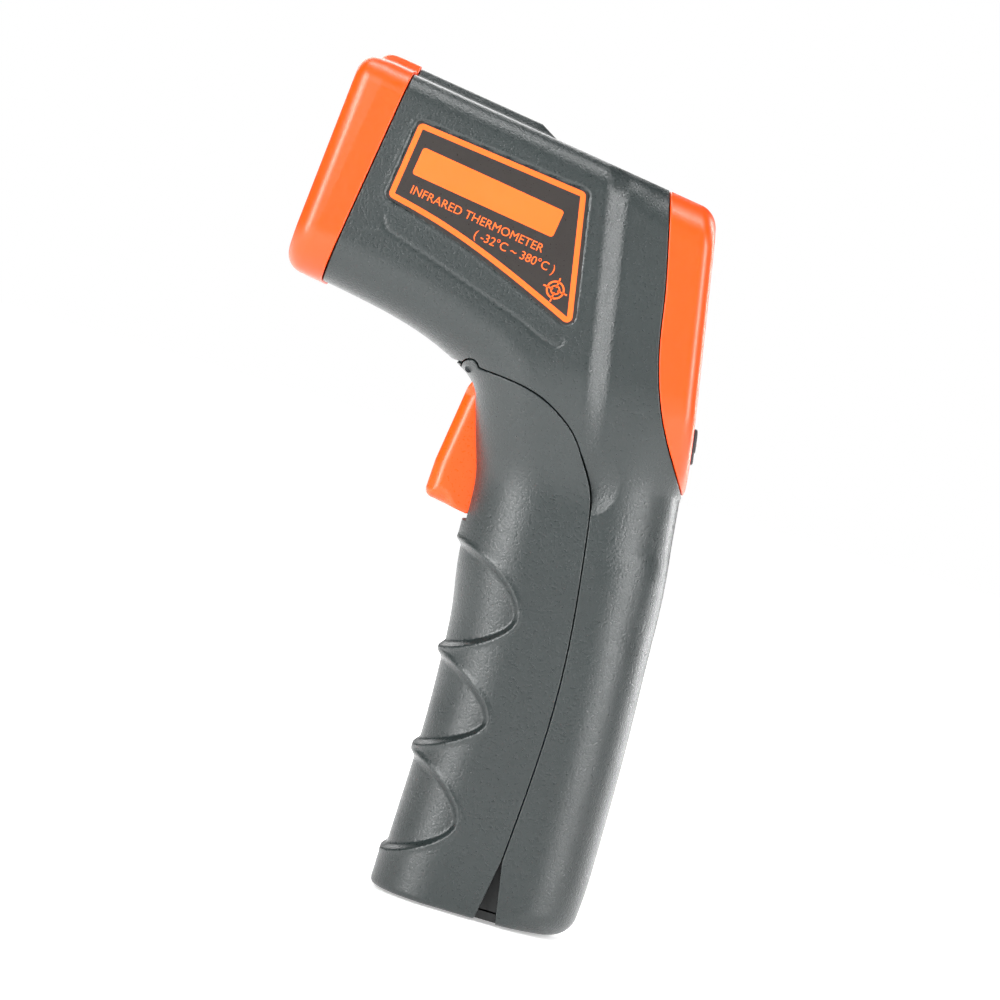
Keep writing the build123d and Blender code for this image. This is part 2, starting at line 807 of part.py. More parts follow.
def make_sensor_board():
    board = block((SENSOR_X - 1.2, -10.8, -10.8), (SENSOR_X, 10.8, 10.8))
    for turn in range(4):
        angle = math.radians(45 + 90 * turn)
        y, z = 2.54 * math.cos(angle), 2.54 * math.sin(angle)
        board -= rod((SENSOR_X - 2, y, z), (SENSOR_X + 1, y, z), 0.4)
    for y, z in SENSOR_SCREWS:
        board -= rod((SENSOR_X - 2, y, z), (SENSOR_X + 1, y, z), 1.0)
    return BARREL * board


def make_sensor_screws():
    screws = []
    for y, z in SENSOR_SCREWS:
        screw = rod((SENSOR_X - 1.2, y, z), (SENSOR_X + 4, y, z), 0.8)
        screw += rod((SENSOR_X - 2.3, y, z), (SENSOR_X - 1.2, y, z), 1.6)
        screws.append(BARREL * screw)
    return Compound(children=screws)


def make_laser_module():
    tube = rod((-19, 0, LASER_Z), (-7, 0, LASER_Z), LASER_RADIUS)
    tube -= rod((-17, 0, LASER_Z), (-6, 0, LASER_Z), 2.2)
    return BARREL * tube


def make_laser_lens():
    return BARREL * rod((-9.0, 0, LASER_Z), (-7.6, 0, LASER_Z), 2.2 - TOUCH)


def make_laser_board():
    return BARREL * block((-20.1, -2.4, LASER_Z - 2.4), (-19.0, 2.4, LASER_Z + 2.4))


def make_laser_window():
    return BARREL * rod((-2.7, 0, LASER_Z), (-WALL, 0, LASER_Z), 2.25)


# ---------------------------------------------------------------- internal leads
LEAD_RADIUS = 0.45
BOARD_BACK = BOARD_DEPTH + BOARD_THICK


def make_laser_leads():
    leads = []
    for side in (-1.3, 1.3):
        route = [
            in_barrel(-20.1, side, 16.6),
            in_barrel(-45.0, side, 16.6),
            on_face(-side, 46.7, 20.0),
            on_face(-side, 46.7, BOARD_BACK + 3.0),
        ]
        leads.append(wire_run(route, LEAD_RADIUS))
    return Compound(children=leads)


def make_sensor_leads():
    leads = []
    for step in range(4):
        side = -2.25 + 1.5 * step
        route = [
            in_barrel(SENSOR_X - 1.2, side, -6.0),
            in_barrel(SENSOR_X - 10.0, side, -6.0),
            on_face(-side, 24.0, BOARD_BACK + 8.0),
            on_face(-side, 24.0, BOARD_BACK),
        ]
        leads.append(wire_run(route, LEAD_RADIUS))
    return Compound(children=leads)


def make_battery_lead(side):
    clip_top = BATTERY_FLOOR + BATTERY_SIZE[2] + CLIP_TOP
    route = [
        (BATTERY_X, side, clip_top),
        (BATTERY_X, side, clip_top + 6),
        (-3.5, side, 72.0),
        (-3.5, side, 86.0),
        on_face(-side, 8.0, BOARD_BACK + 5.5),
        on_face(-side, 8.0, BOARD_BACK),
    ]
    return wire_run(route, 0.7)


def make_switch_leads():
    leads = []
    for side in (-1.4, 1.4):
        route = [
            (6.8, side, 97.4),
            (2.6, side, 97.4),
            on_face(-side, 14.0, BOARD_BACK + 4.5),
            on_face(-side, 14.0, BOARD_BACK),
        ]
        leads.append(wire_run(route, LEAD_RADIUS))
    return Compound(children=leads)


# ---------------------------------------------------------------- battery
def make_battery_case():
    length, width, height = BATTERY_SIZE
    low = (BATTERY_X - length / 2, -width / 2, BATTERY_FLOOR)
    high = (BATTERY_X + length / 2, width / 2, BATTERY_FLOOR + height)
    return fillet(block(low, high).edges().filter_by(Axis.Z), 2.2)


def terminal_places():
    top = BATTERY_FLOOR + BATTERY_SIZE[2]
    return [(BATTERY_X - TERMINAL_PITCH / 2, top, 2.9), (BATTERY_X + TERMINAL_PITCH / 2, top, 3.6)]


def make_battery_terminals():
    studs = []
    for x, z, radius in terminal_places():
        studs.append(rod((x, 0, z), (x, 0, z + TERMINAL_HEIGHT), radius))
    return Compound(children=studs)


def make_battery_clip():
    top = BATTERY_FLOOR + BATTERY_SIZE[2]
    clip = block((BATTERY_X - 12.5, -6.5, top + 0.1), (BATTERY_X + 12.5, 6.5, top + CLIP_TOP))
    clip = fillet(clip.edges().filter_by(Axis.Z), 3)
    for x, z, radius in terminal_places():
        clip -= rod((x, 0, z), (x, 0, z + TERMINAL_HEIGHT + 0.1), radius + TOUCH)
    return clip


# ---------------------------------------------------------------- side labels
def make_left_label():
    return label_plate(BARREL_HALF - 0.33, BARREL_HALF - 0.05)


def make_right_label():
    return label_plate(-BARREL_HALF + 0.05, -BARREL_HALF + 0.33)


# ---------------------------------------------------------------- the set of parts
PARTS = {
    "body_left": make_body_left,
    "body_right": make_body_right,
    "front_cap": make_front_cap,
    "rear_bezel": make_rear_bezel,
    "battery_door": make_battery_door,
    "door_hinge_pin": make_door_pin,
    "trigger": make_trigger,
    "trigger_pin": make_trigger_pin,
    "trigger_spring": make_trigger_spring,
    "trigger_board": trigger_board_block,
    "trigger_switch": make_trigger_switch,
    "switch_plunger": make_switch_plunger,
    "switch_leads": make_switch_leads,
    "laser_button": lambda: make_key("laser"),
    "unit_button": lambda: make_key("unit"),
    "light_button": lambda: make_key("light"),
    "laser_button_pill": lambda: make_pill("laser"),
    "unit_button_pill": lambda: make_pill("unit"),
    "light_button_pill": lambda: make_pill("light"),
    "keypad_mat": make_keypad_mat,
    "display_window": make_display_window,
    "lcd_glass": make_lcd_glass,
    "lcd_backlight": make_lcd_backlight,
    "lcd_holder": make_lcd_holder,
    "zebra_strip": make_zebra_strip,
    "main_board": make_main_board,
    "board_chips": make_board_chips,
    "board_screws": make_board_screws,
    "lens_hood": make_lens_hood,
    "lens_tube": make_lens_tube,
    "fresnel_lens": make_fresnel_lens,
    "infrared_filter": make_infrared_filter,
    "thermopile_can": make_thermopile_can,
    "thermopile_base": make_thermopile_base,
    "thermopile_pins": make_thermopile_pins,
    "sensor_board": make_sensor_board,
    "sensor_screws": make_sensor_screws,
    "sensor_leads": make_sensor_leads,
    "laser_module": make_laser_module,
    "laser_lens": make_laser_lens,
    "laser_board": make_laser_board,
    "laser_window": make_laser_window,
    "laser_leads": make_laser_leads,
    "battery_case": make_battery_case,
    "battery_terminals": make_battery_terminals,
    "battery_clip": make_battery_clip,
    "battery_lead_red": lambda: make_battery_lead(-2.2),
    "battery_lead_black": lambda: make_battery_lead(2.2),
    "case_screws": make_case_screws,
    "left_label": make_left_label,
    "right_label": make_right_label,
}


def main():
    os.makedirs("parts", exist_ok=True)
    for node, make in PARTS.items():
        export_step(make(), os.path.join("parts", node + ".step"))


main()
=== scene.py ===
import json
import math

import bmesh
import bpy
import numpy as np
from mathutils import Matrix, Vector
from mathutils.geometry import tessellate_polygon


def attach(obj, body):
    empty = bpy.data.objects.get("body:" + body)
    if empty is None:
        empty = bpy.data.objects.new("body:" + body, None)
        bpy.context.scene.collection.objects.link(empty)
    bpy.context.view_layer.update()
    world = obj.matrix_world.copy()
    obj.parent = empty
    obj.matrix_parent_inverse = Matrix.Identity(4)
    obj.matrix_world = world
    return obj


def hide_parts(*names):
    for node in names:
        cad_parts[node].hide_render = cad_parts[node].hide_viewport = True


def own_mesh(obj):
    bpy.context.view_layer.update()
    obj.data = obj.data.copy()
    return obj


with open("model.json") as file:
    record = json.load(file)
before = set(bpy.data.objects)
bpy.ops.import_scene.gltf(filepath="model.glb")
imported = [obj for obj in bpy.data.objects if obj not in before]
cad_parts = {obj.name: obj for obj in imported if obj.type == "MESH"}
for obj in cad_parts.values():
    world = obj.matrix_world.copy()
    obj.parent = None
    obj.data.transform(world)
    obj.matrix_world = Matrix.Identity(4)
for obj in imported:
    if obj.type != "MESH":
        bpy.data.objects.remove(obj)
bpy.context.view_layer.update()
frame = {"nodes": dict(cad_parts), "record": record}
nodes = frame["nodes"]
MM = 0.001

# ---------------------------------------------------------------- frames, in millimetres
TILT = math.radians(8.0)
NOSE = (68.3, 134.6)  # middle of the nose face, in the row frame
TIP = (-91.6, -31.6)  # lower end of the display face, in the barrel frame
LEAN = math.atan2(18.0, 54.1)
UP = (math.sin(LEAN), math.cos(LEAN))
OUT = (-math.cos(LEAN), math.sin(LEAN))
CAP_REAR = -8.8
PIVOT = (30.1, 103.2)
WALL = 1.8


def to_row(x, z):
    """Barrel side view to row frame."""
    c, s = math.cos(TILT), math.sin(TILT)
    return NOSE[0] + x * c - z * s, NOSE[1] + x * s + z * c


def to_barrel(x, z):
    """Row side view to barrel frame."""
    c, s = math.cos(TILT), math.sin(TILT)
    return (x - NOSE[0]) * c + (z - NOSE[1]) * s, (z - NOSE[1]) * c - (x - NOSE[0]) * s


def to_face(x, z):
    """Row side view to (height up the display face, distance out of it)."""
    xb, zb = to_barrel(x, z)
    dx, dz = xb - TIP[0], zb - TIP[1]
    return dx * UP[0] + dz * UP[1], dx * OUT[0] + dz * OUT[1]


def face_point(x, y, out):
    """Point of the display face frame in the row frame."""
    X, Z = to_row(TIP[0] + y * UP[0] + out * OUT[0], TIP[1] + y * UP[1] + out * OUT[1])
    return X, -x, Z


# ---------------------------------------------------------------- curves and distances
def spline(points, step=1.0):
    """Natural cubic spline through 2-D points."""
    p = np.array(points, float)
    t = np.concatenate([[0], np.cumsum(np.linalg.norm(np.diff(p, axis=0), axis=1))])
    n, d = len(p), np.diff(t)
    a = np.zeros((n, n))
    b = np.zeros((n, 2))
    a[0, 0] = a[-1, -1] = 1
    for i in range(1, n - 1):
        a[i, i - 1], a[i, i], a[i, i + 1] = d[i - 1], 2 * (d[i - 1] + d[i]), d[i]
        b[i] = 6 * ((p[i + 1] - p[i]) / d[i] - (p[i] - p[i - 1]) / d[i - 1])
    m = np.linalg.solve(a, b)
    s = np.linspace(0, t[-1], max(3, int(t[-1] / step) + 1))
    i = np.clip(np.searchsorted(t, s, side="right") - 1, 0, n - 2)
    u, v, w = (t[i + 1] - s)[:, None], (s - t[i])[:, None], d[i][:, None]
    return (
        m[i] * u**3 / (6 * w)
        + m[i + 1] * v**3 / (6 * w)
        + (p[i] / w - m[i] * w / 6) * u
        + (p[i + 1] / w - m[i + 1] * w / 6) * v
    )


def line_distance(px, pz, points, closed=False):
    """Distance to a polyline; signed, and negative inside, if it is closed."""
    points = np.array(points, float)
    ends = np.roll(points, -1, 0) if closed else points[1:]
    best = np.full(np.broadcast(px, pz).shape, 1e9)
    inside = np.zeros(best.shape, bool)
    for (x0, z0), (x1, z1) in zip(points, ends):
        ex, ez = x1 - x0, z1 - z0
        if ex * ex + ez * ez < 1e-12:
            continue
        wx, wz = px - x0, pz - z0
        t = np.clip((wx * ex + wz * ez) / (ex * ex + ez * ez), 0, 1)
        best = np.minimum(best, (wx - ex * t) ** 2 + (wz - ez * t) ** 2)
        if closed and ez:
            inside ^= ((z0 <= pz) != (z1 <= pz)) & (px < ex * (pz - z0) / ez + x0)
    best = np.sqrt(best)
    return np.where(inside, -best, best)


GRID = 0.3
GRID_X = np.arange(-76, 90, GRID)
GRID_Z = np.arange(-14, 166, GRID)


class Table:
    """A side-view quantity kept on a fine grid, read back with bilinear interpolation."""

    def __init__(self, fun):
        self.v = fun(GRID_X[:, None], GRID_Z[None, :]) + np.zeros((len(GRID_X), len(GRID_Z)))

    def __call__(self, x, z):
        x, z = np.broadcast_arrays(np.asarray(x, float), np.asarray(z, float))
        i = np.clip((x - GRID_X[0]) / GRID, 0, len(GRID_X) - 1.001)
        k = np.clip((z - GRID_Z[0]) / GRID, 0, len(GRID_Z) - 1.001)
        i0, k0 = i.astype(int), k.astype(int)
        a, b = i - i0, k - k0
        v = self.v
        low = v[i0, k0] * (1 - a) + v[i0 + 1, k0] * a
        high = v[i0, k0 + 1] * (1 - a) + v[i0 + 1, k0 + 1] * a
        return low * (1 - b) + high * b


def smooth(t):
    t = np.clip(t, 0, 1)
    return t * t * (3 - 2 * t)


def meet(a, b, r):
    """Intersection of two distance fields with the edge rounded to radius r."""
    both = np.sqrt(np.maximum(a + r, 0) ** 2 + np.maximum(b + r, 0) ** 2) - r
    return np.where((a > -r) & (b > -r), both, np.maximum(a, b))


def barrel_points(points):
    return [to_row(*p) for p in points]


def outline_points():
    """The side silhouette, run on past the display face, the nose and the base."""
    chin = (TIP[0] - 0.3, TIP[1] - 0.9)
    front = barrel_points([(-9.5, -21.9), (-22, -22.4), (-32, -23.7), (-39, -25.6), (-44, -28.2)])
    front += [(26.9, 96.4), (25.05, 90), (23.6, 82.8), (23.2, 74.7), (22.7, 66), (21.2, 57)]
    front += [(20.5, 48.5), (20.0, 36), (20.0, 24), (20.3, 10), (20.4, 0)]
    rear = [(-20.6, 0), (-21.4, 9), (-21.5, 19), (-21.3, 32), (-20.8, 46), (-20.1, 59.5)]
    rear += [(-19.5, 72.7), (-18.6, 83), to_row(*chin)]
    start = barrel_points([(chin[0] + 30 * OUT[0], chin[1] + 30 * OUT[1]), (-121, 22.5)])
    start += barrel_points([(25, 22.5), (25, -21.6)])
    return start + list(map(tuple, spline(front))) + [(20.3, -12), (-20.4, -12)] + list(
        map(tuple, spline(rear))
    )


def width_at(x, z):
    """Half width of the flat side."""
    out = to_face(x, z)[1]
    grip = 15.4 + 1.0 * smooth(z / 90)
    head = 19.55 + 1.95 * smooth((-out - 17) / 5.6)
    return grip + (head - grip) * smooth((z - 83) / 27)


# x, z and the radius there, in the barrel frame and in the row frame
BARREL_ROUNDS = [
    (-71, 22, 8), (-50, 22, 5.5), (-30, 22, 5), (-10, 22, 5), (-78, 8, 7), (-91, -31, 19),
    (-86, -30, 18.5), (0, -22, 9), (-15, -22, 10), (-30, -24, 10.5), (-45, -29, 12),
]
GRIP_ROUNDS = [
    (-20, 70, 14), (24, 74, 14.5), (-21, 50, 13.2), (20, 50, 14), (-21, 25, 13), (20, 25, 13),
    (-20, 2, 12.5), (20, 2, 12.5),
]


def round_at(x, z):
    """Radius between the flat side and the silhouette, blended between the listed places."""
    total = weight = 0
    for (u, v), places in ((to_barrel(x, z), BARREL_ROUNDS), ((x, z), GRIP_ROUNDS)):
        for pu, pv, radius in places:
            w = ((u - pu) ** 2 + (v - pv) ** 2 + 4) ** -2
            total, weight = total + w * radius, weight + w
    return np.minimum(total / weight, width_at(x, z) - 0.8)


def corner_round(points, radius, steps=6, least=0.0):
    """Polygon with each corner that turns more than least (radians) replaced by an arc."""
    out = []
    count = len(points)
    for i, p in enumerate(points):
        p = Vector(p)
        a = (Vector(points[i - 1]) - p).normalized()
        b = (Vector(points[(i + 1) % count]) - p).normalized()
        half = a.angle(b) / 2
        if math.pi - 2 * half <= least:
            out.append(tuple(p))
            continue
        centre = p + (a + b).normalized() * (radius / math.sin(half))
        start, end = p + a * (radius / math.tan(half)), p + b * (radius / math.tan(half))
        s, e = start - centre, end - centre
        turn = s.angle_signed(e)
        for k in range(steps + 1):
            v = s.copy()
            v.rotate(Matrix.Rotation(-turn * k / steps, 2))
            out.append(tuple(centre + v))
    return out


# ---------------------------------------------------------------- seams and surface details
BEZEL_SEAM = [(-63.5, 22.5), (-67.4, 12.4), (-71, 3), (-73.6, -5), (-76.6, -12.2), (-80.4, -19), (-85, -25),
              (-90, -30.4), (-91.8, -32.2)]
DOOR_SEAM = [(-3.4, 12.4), (-4.4, 29.4), (-4.7, 41.5), (-4.4, 51.6), (-3.5, 61.9), (-2.2, 72.1), (-0.9, 80.9),
             (0.7, 87.2), (3.6, 92.1), (7.0, 96.7), (10.6, 99.5), (15.3, 101.9), (22.2, 103.3), (29.2, 103.8)]
KNUCKLE = 1.8
GROOVE_TIPS = (70.2, 48.5, 28.3, 6.8)
LABEL_GROW = 0.45  # the recess is this much larger than the film
RIDGE_REAR = -39.5  # the sighting ridge rises from here over this length
RIDGE_RISE = 4.5


def ridge(ay):
    """Height of the sighting ridge at distance ay from the middle plane."""
    return 2.0 * (1 / (1 + (ay / 2.9) ** 4) - 0.06)


def bezel_outline():
    seam = list(spline(barrel_points(BEZEL_SEAM)))
    lead = to_row(-60.5, 30)
    return [lead] + seam + [to_row(-97, -37), to_row(-130, -37), to_row(-130, 30)]


def door_outline(foot, front):
    """Everything in front of the door seam; beyond the pivot it stops at x = front."""
    seam = list(spline(DOOR_SEAM)) + [(PIVOT[0], 103.85), (front, 103.9), (front, 90), (60, 90), (60, -12)]
    return seam + [(foot + 3.4, -12), (foot, 0)]


def groove_outline(top, bottom):
    middle = (top + bottom) / 2 - 1.0
    arch = [(30, top + 1.0), (24, top + 0.6), (19.5, top - 0.6), (11.5, top - 4.6), (7.0, middle)]
    arch += [(12.0, bottom + 4.2), (19.5, bottom + 0.6), (24, bottom - 0.7), (30, bottom - 1.2)]
    return spline(arch, 0.5)


def label_outline(grow):
    low = [(-13.9 + grow, -2.0 - grow), (-24, -2.9 - grow), (-38, -5.5 - grow), (-57.4 - grow, -10.7 - grow)]
    edge = [p for p in spline(low, 1.5) if -55 < p[0] < -16]
    corners = [low[0]] + edge + [low[-1], (-49.0 - grow, 14.8 + grow), (-13.7 + grow, 13.9 + grow)]
    return corner_round(corners, 1.3 + grow, 5, 0.5)


def door_cover(foot, front):
    cover = Table(lambda x, z: line_distance(x, z, door_outline(foot, front), True))
    knuckle = Table(lambda x, z: np.hypot(x - PIVOT[0], z - PIVOT[1]) - KNUCKLE)
    cover.v = np.minimum(cover.v, knuckle.v)
    return cover


SIDE = Table(lambda x, z: line_distance(x, z, outline_points(), True))
WIDTH = Table(width_at)
ROUND = Table(round_at)
BEZEL = Table(lambda x, z: line_distance(x, z, bezel_outline(), True))
DOOR = door_cover(-1.4, PIVOT[0])
NOTCH = door_cover(-5.6, 60)
LABEL = Table(lambda x, z: line_distance(x, z, barrel_points(label_outline(LABEL_GROW)), True))
SWEEP_POINTS = [
    (-15.0, -5.9), (-16.0, -7.4), (-19, -8.4), (-28, -9.8), (-40, -11.9), (-50, -14.0), (-54.8, -15.0),
    (-56.3, -14.6), (-56.4, -13.2),
]
SWEEP_LINE = spline(barrel_points(SWEEP_POINTS), 0.5)
SWEEP = Table(lambda x, z: line_distance(x, z, SWEEP_LINE))
ARCHES = Table(
    lambda x, z: np.minimum.reduce(
        [line_distance(x, z, groove_outline(a, b), True) for a, b in zip(GROOVE_TIPS, GROOVE_TIPS[1:])]
    )
)
KEYS = {"laser_button": (-8.7, 11.6), "unit_button": (0.0, 9.7), "light_button": (8.7, 11.6)}


def key_outline(name):
    wide, tall, corner, up = (6.0, 7.0, 1.8, 1) if name == "unit_button" else (5.0, 5.7, 1.5, -1)
    x, y = KEYS[name]
    base = -0.42 * tall * up
    points = [(-wide, base), (wide, base), (0, base + tall * up)]
    return [(x + a, y + b) for a, b in corner_round(points, corner)]


def box_outline(x0, y0, x1, y1, radius):
    return corner_round([(x0, y0), (x1, y0), (x1, y1), (x0, y1)], radius)


WINDOW = box_outline(-12.75, 18.95, 12.75, 42.55, 1.2)
DISH = corner_round([(-13.9, 17), (13.9, 17), (15.6, 45.4), (-15.6, 45.4)], 1.6)
KEY_SHAPES = {name: key_outline(name) for name in KEYS}


def key_distance(x, y):
    return np.minimum.reduce([line_distance(x, y, KEY_SHAPES[name], True) for name in KEYS])


def relief(x, y, z, piece):
    """Height of the raised and sunk details of a shell."""
    ay = np.abs(y)
    xb, zb = to_barrel(x, z)
    h = 0.0
    if piece in ("body", "cap"):
        bell = ridge(ay) * (ay < 5.8)
        nose = 1 - np.clip(-(xb + 0.6) / 2.4, 0, 1)
        run = np.clip((xb - RIDGE_REAR) / RIDGE_RISE, 0, 1) * np.sqrt(1 - nose * nose)
        h = h + np.maximum(bell, 0) * run * (zb > 0)
    if piece == "body":
        # label recess and the bead round it, embossed line, thumb dimple
        side = smooth((ay - 12) / 2)
        h = h - 0.36 * side * smooth(0.5 - LABEL(x, z) / 0.5)
        h = h + 0.07 * side * np.exp(-(((LABEL(x, z) - 0.55) / 0.35) ** 2))
        h = h - 0.2 * side * np.exp(-((SWEEP(x, z) / 0.36) ** 2))
        q = ((x - 1.2) / 6.1) ** 2 + ((z - 88.2) / 6.3) ** 2
        h = h - 1.35 * side * np.clip(1 - q, 0, 1)
    if piece == "cap":
        h = h + 0.45 * np.clip(-xb / 4, 0.2, 1)
    if piece == "door":
        # finger hollows, each with a bead on its edge
        d = ARCHES(x, z)
        bead = 0.12 + 0.06 * smooth((ay - 6) / 6)
        h = h - 1.0 * smooth(-d / 1.15) + bead * np.exp(-(((d - 0.1) / 0.5) ** 2))
    if piece == "bezel":
        # dish round the window, and a well round the keys
        up, out = to_face(x, z)
        flat = (out > -3) & (ay < 18)
        h = h - np.where(flat, 0.4 * smooth(0.5 - line_distance(y, up, DISH, True) / 0.5), 0)
        h = h - np.where(flat & (up < 20), 0.35 * smooth(0.5 - (key_distance(y, up) - 0.8) / 0.4), 0)
    return h


def field(x, y, z, piece=None):
    """Signed distance to the outside of the case, negative inside."""
    up, out = to_face(x, z)
    xb, zb = to_barrel(x, z)
    crown = 0.9 * smooth((zb - 8) / 12) * (y / 20) ** 2
    f = meet(SIDE(x, z) + crown, np.abs(y) - WIDTH(x, z), ROUND(x, z))
    f = meet(f, out, 3.0)
    f = meet(f, xb - 0.5 - 0.055 * zb, 3.0)
    f = meet(f, -z, 1.2 + 3.4 * smooth((-x - 4) / 10))
    return f - relief(x, y, z, piece) if piece else f


# ---------------------------------------------------------------- skin meshing
def gradient(fun, p, e=0.2):
    x, y, z = p.T
    g = [
        fun(x + e, y, z) - fun(x - e, y, z),
        fun(x, y + e, z) - fun(x, y - e, z),
        fun(x, y, z + e) - fun(x, y, z - e),
    ]
    return np.stack(g, 1) / (2 * e)


def unit(v):
    return v / np.maximum(np.linalg.norm(v, axis=1, keepdims=True), 1e-9)


def onto(fun, p, level=0.0, rounds=4):
    """Moves points along the gradient until fun equals level."""
    for _ in range(rounds):
        g = gradient(fun, p, 0.1)
        f = fun(p[:, 0], p[:, 1], p[:, 2]) - level
        step = g * (f / np.maximum((g * g).sum(1), 0.2))[:, None]
        p = p - np.clip(step, -0.6, 0.6)
    return p


def surface(fun, low, high, cell, near):
    """Triangles of fun = 0 in a box, only in side-view columns where near(x, z) is true."""
    xs, ys, zs = (np.arange(a, b + cell, cell) for a, b in zip(low, high))
    v = fun(xs[:, None, None], ys[None, :, None], zs[None, None, :])
    keep = near(xs[:-1, None] + cell / 2, zs[None, :-1] + cell / 2)
    s = v < 0
    corners = [(i, j, k) for i in (0, 1) for j in (0, 1) for k in (0, 1)]
    nx, ny, nz = v.shape

    def part(a, c):
        i, j, k = c
        return a[i : nx - 1 + i, j : ny - 1 + j, k : nz - 1 + k]

    count = sum(part(s, c).astype(np.int8) for c in corners)
    mask = (count > 0) & (count < 8) & keep[:, None, :]
    cells = np.argwhere(mask)
    index = np.full(mask.shape, -1, np.int64)
    index[mask] = np.arange(len(cells))
    values = {c: part(v, c)[mask] for c in corners}
    total = np.zeros((len(cells), 3))
    hits = np.zeros(len(cells))
    for c in corners:
        for axis in range(3):
            if c[axis]:
                continue
            d = tuple(1 if n == axis else c[n] for n in range(3))
            a, b = values[c], values[d]
            cross = (a < 0) != (b < 0)
            t = np.where(cross, a / np.where(cross, a - b, 1), 0)
            point = np.array(c, float) + np.eye(3)[axis] * t[:, None]
            total += point * cross[:, None]
            hits += cross
    origin = np.array([xs[0], ys[0], zs[0]])
    p = origin + (cells + total / np.maximum(hits, 1)[:, None]) * cell
    quads = []
    for axis in range(3):
        o1, o2 = [n for n in range(3) if n != axis]
        one = np.take(s, range(v.shape[axis] - 1), axis)
        two = np.take(s, range(1, v.shape[axis]), axis)
        at = np.argwhere(one != two)
        at = at[(at[:, o1] > 0) & (at[:, o2] > 0)]
        at = at[(at[:, o1] < v.shape[o1] - 1) & (at[:, o2] < v.shape[o2] - 1)]
        ring = []
        for da, db in ((-1, -1), (0, -1), (0, 0), (-1, 0)):
            q = at.copy()
            q[:, o1] += da
            q[:, o2] += db
            ring.append(index[q[:, 0], q[:, 1], q[:, 2]])
        ring = np.stack(ring, 1)
        flip = one[at[:, 0], at[:, 1], at[:, 2]]
        if axis == 1:
            flip = ~flip
        ring[~flip] = ring[~flip][:, ::-1]
        quads.append(ring[(ring >= 0).all(1)])
    quads = np.concatenate(quads)
    p = onto(fun, p)
    a, b, c, d = quads.T
    short = np.linalg.norm(p[a] - p[c], axis=1) <= np.linalg.norm(p[b] - p[d], axis=1)
    first = np.where(short[:, None], np.stack([a, b, c], 1), np.stack([a, b, d], 1))
    second = np.where(short[:, None], np.stack([a, c, d], 1), np.stack([b, c, d], 1))
    return p, np.concatenate([first, second])


def clip(p, tris, g):
    """Keeps the part of a mesh where g, given per point, is not negative."""
    g = np.where(np.abs(g) < 1e-4, 1e-4, g)
    inside = (g > 0)[tris]
    count = inside.sum(1)
    out = [tris[count == 3]]
    one = tris[count == 1]
    lead = inside[count == 1].argmax(1)
    one = np.stack([one[np.arange(len(one)), (lead + n) % 3] for n in range(3)], 1)
    two = tris[count == 2]
    lead = (~inside[count == 2]).argmax(1)
    two = np.stack([two[np.arange(len(two)), (lead + n) % 3] for n in range(3)], 1)
    starts = np.concatenate([one[:, 0], one[:, 0], two[:, 0], two[:, 0]])
    ends = np.concatenate([one[:, 1], one[:, 2], two[:, 1], two[:, 2]])
    pairs = np.sort(np.stack([starts, ends], 1), 1)
    unique, back = np.unique(pairs, axis=0, return_inverse=True)
    a, b = unique.T
    t = (g[a] / (g[a] - g[b]))[:, None]
    fresh = p[a] + (p[b] - p[a]) * t
    back = back.ravel() + len(p)
    n1, n2 = len(one), len(two)
    e01, e02 = back[:n1], back[n1 : 2 * n1]
    f01, f02 = back[2 * n1 : 2 * n1 + n2], back[2 * n1 + n2 :]
    out.append(np.stack([one[:, 0], e01, e02], 1))
    out.append(np.stack([f01, two[:, 1], two[:, 2]], 1))
    out.append(np.stack([f01, two[:, 2], f02], 1))
    return compact(np.concatenate([p, fresh]), np.concatenate(out))


def compact(p, tris):
    """Drops the points that no triangle uses."""
    used = np.unique(tris)
    place = np.full(len(p), -1)
    place[used] = np.arange(len(used))
    return p[used], place[tris]


def rim(p, tris):
    """Boundary edges (a, b), with the mesh on their left."""
    e = np.concatenate([tris[:, [0, 1]], tris[:, [1, 2]], tris[:, [2, 0]]])
    size = len(p)
    forward = e[:, 0] * size + e[:, 1]
    backward = e[:, 1] * size + e[:, 0]
    return e[~np.isin(forward, backward)]


STRAY = 1.5  # inner points that end further than this from the straight offset are put back on it


def shell(p, tris, outer, inner, wall, edge):
    """Closed shell: outer skin, rounded rim, wall, and an inner skin at depth wall."""
    n = unit(gradient(outer, p))
    e = rim(p, tris)
    run = np.zeros_like(p)
    d = unit(p[e[:, 1]] - p[e[:, 0]])
    np.add.at(run, e[:, 0], d)
    np.add.at(run, e[:, 1], d)
    ids = np.unique(e)
    along = unit(run[ids])
    nb = n[ids]
    t = unit(np.cross(along, nb))
    base = p[ids]
    rings, normals = [], []
    for turn in (45, 90):
        s, c = math.sin(math.radians(turn)), math.cos(math.radians(turn))
        rings.append(base + edge * s * t - edge * (1 - c) * nb)
        normals.append(c * nb + s * t)
    rings.append(base + edge * t - wall * nb)
    normals.append(unit(t - nb))
    deep = onto(inner, p - wall * n, -wall, 3)
    straight = p - wall * n
    strayed = np.linalg.norm(deep - straight, axis=1) > STRAY
    deep[strayed] = straight[strayed]
    inward = -unit(gradient(inner, deep))
    size, m = len(p), len(ids)
    place = np.full(size, -1)
    place[ids] = np.arange(m)
    verts = np.concatenate([p] + rings + [deep])
    norms = np.concatenate([n] + normals + [inward])
    faces = [tris, tris[:, ::-1] + size + 3 * m]
    rows = [e, place[e] + size, place[e] + size + m, place[e] + size + 2 * m, e + size + 3 * m]
    for upper, lower in zip(rows, rows[1:]):
        a, b = upper.T
        c, d2 = lower.T
        faces.append(np.stack([b, a, c], 1))
        faces.append(np.stack([b, c, d2], 1))
    return verts, np.concatenate(faces), norms


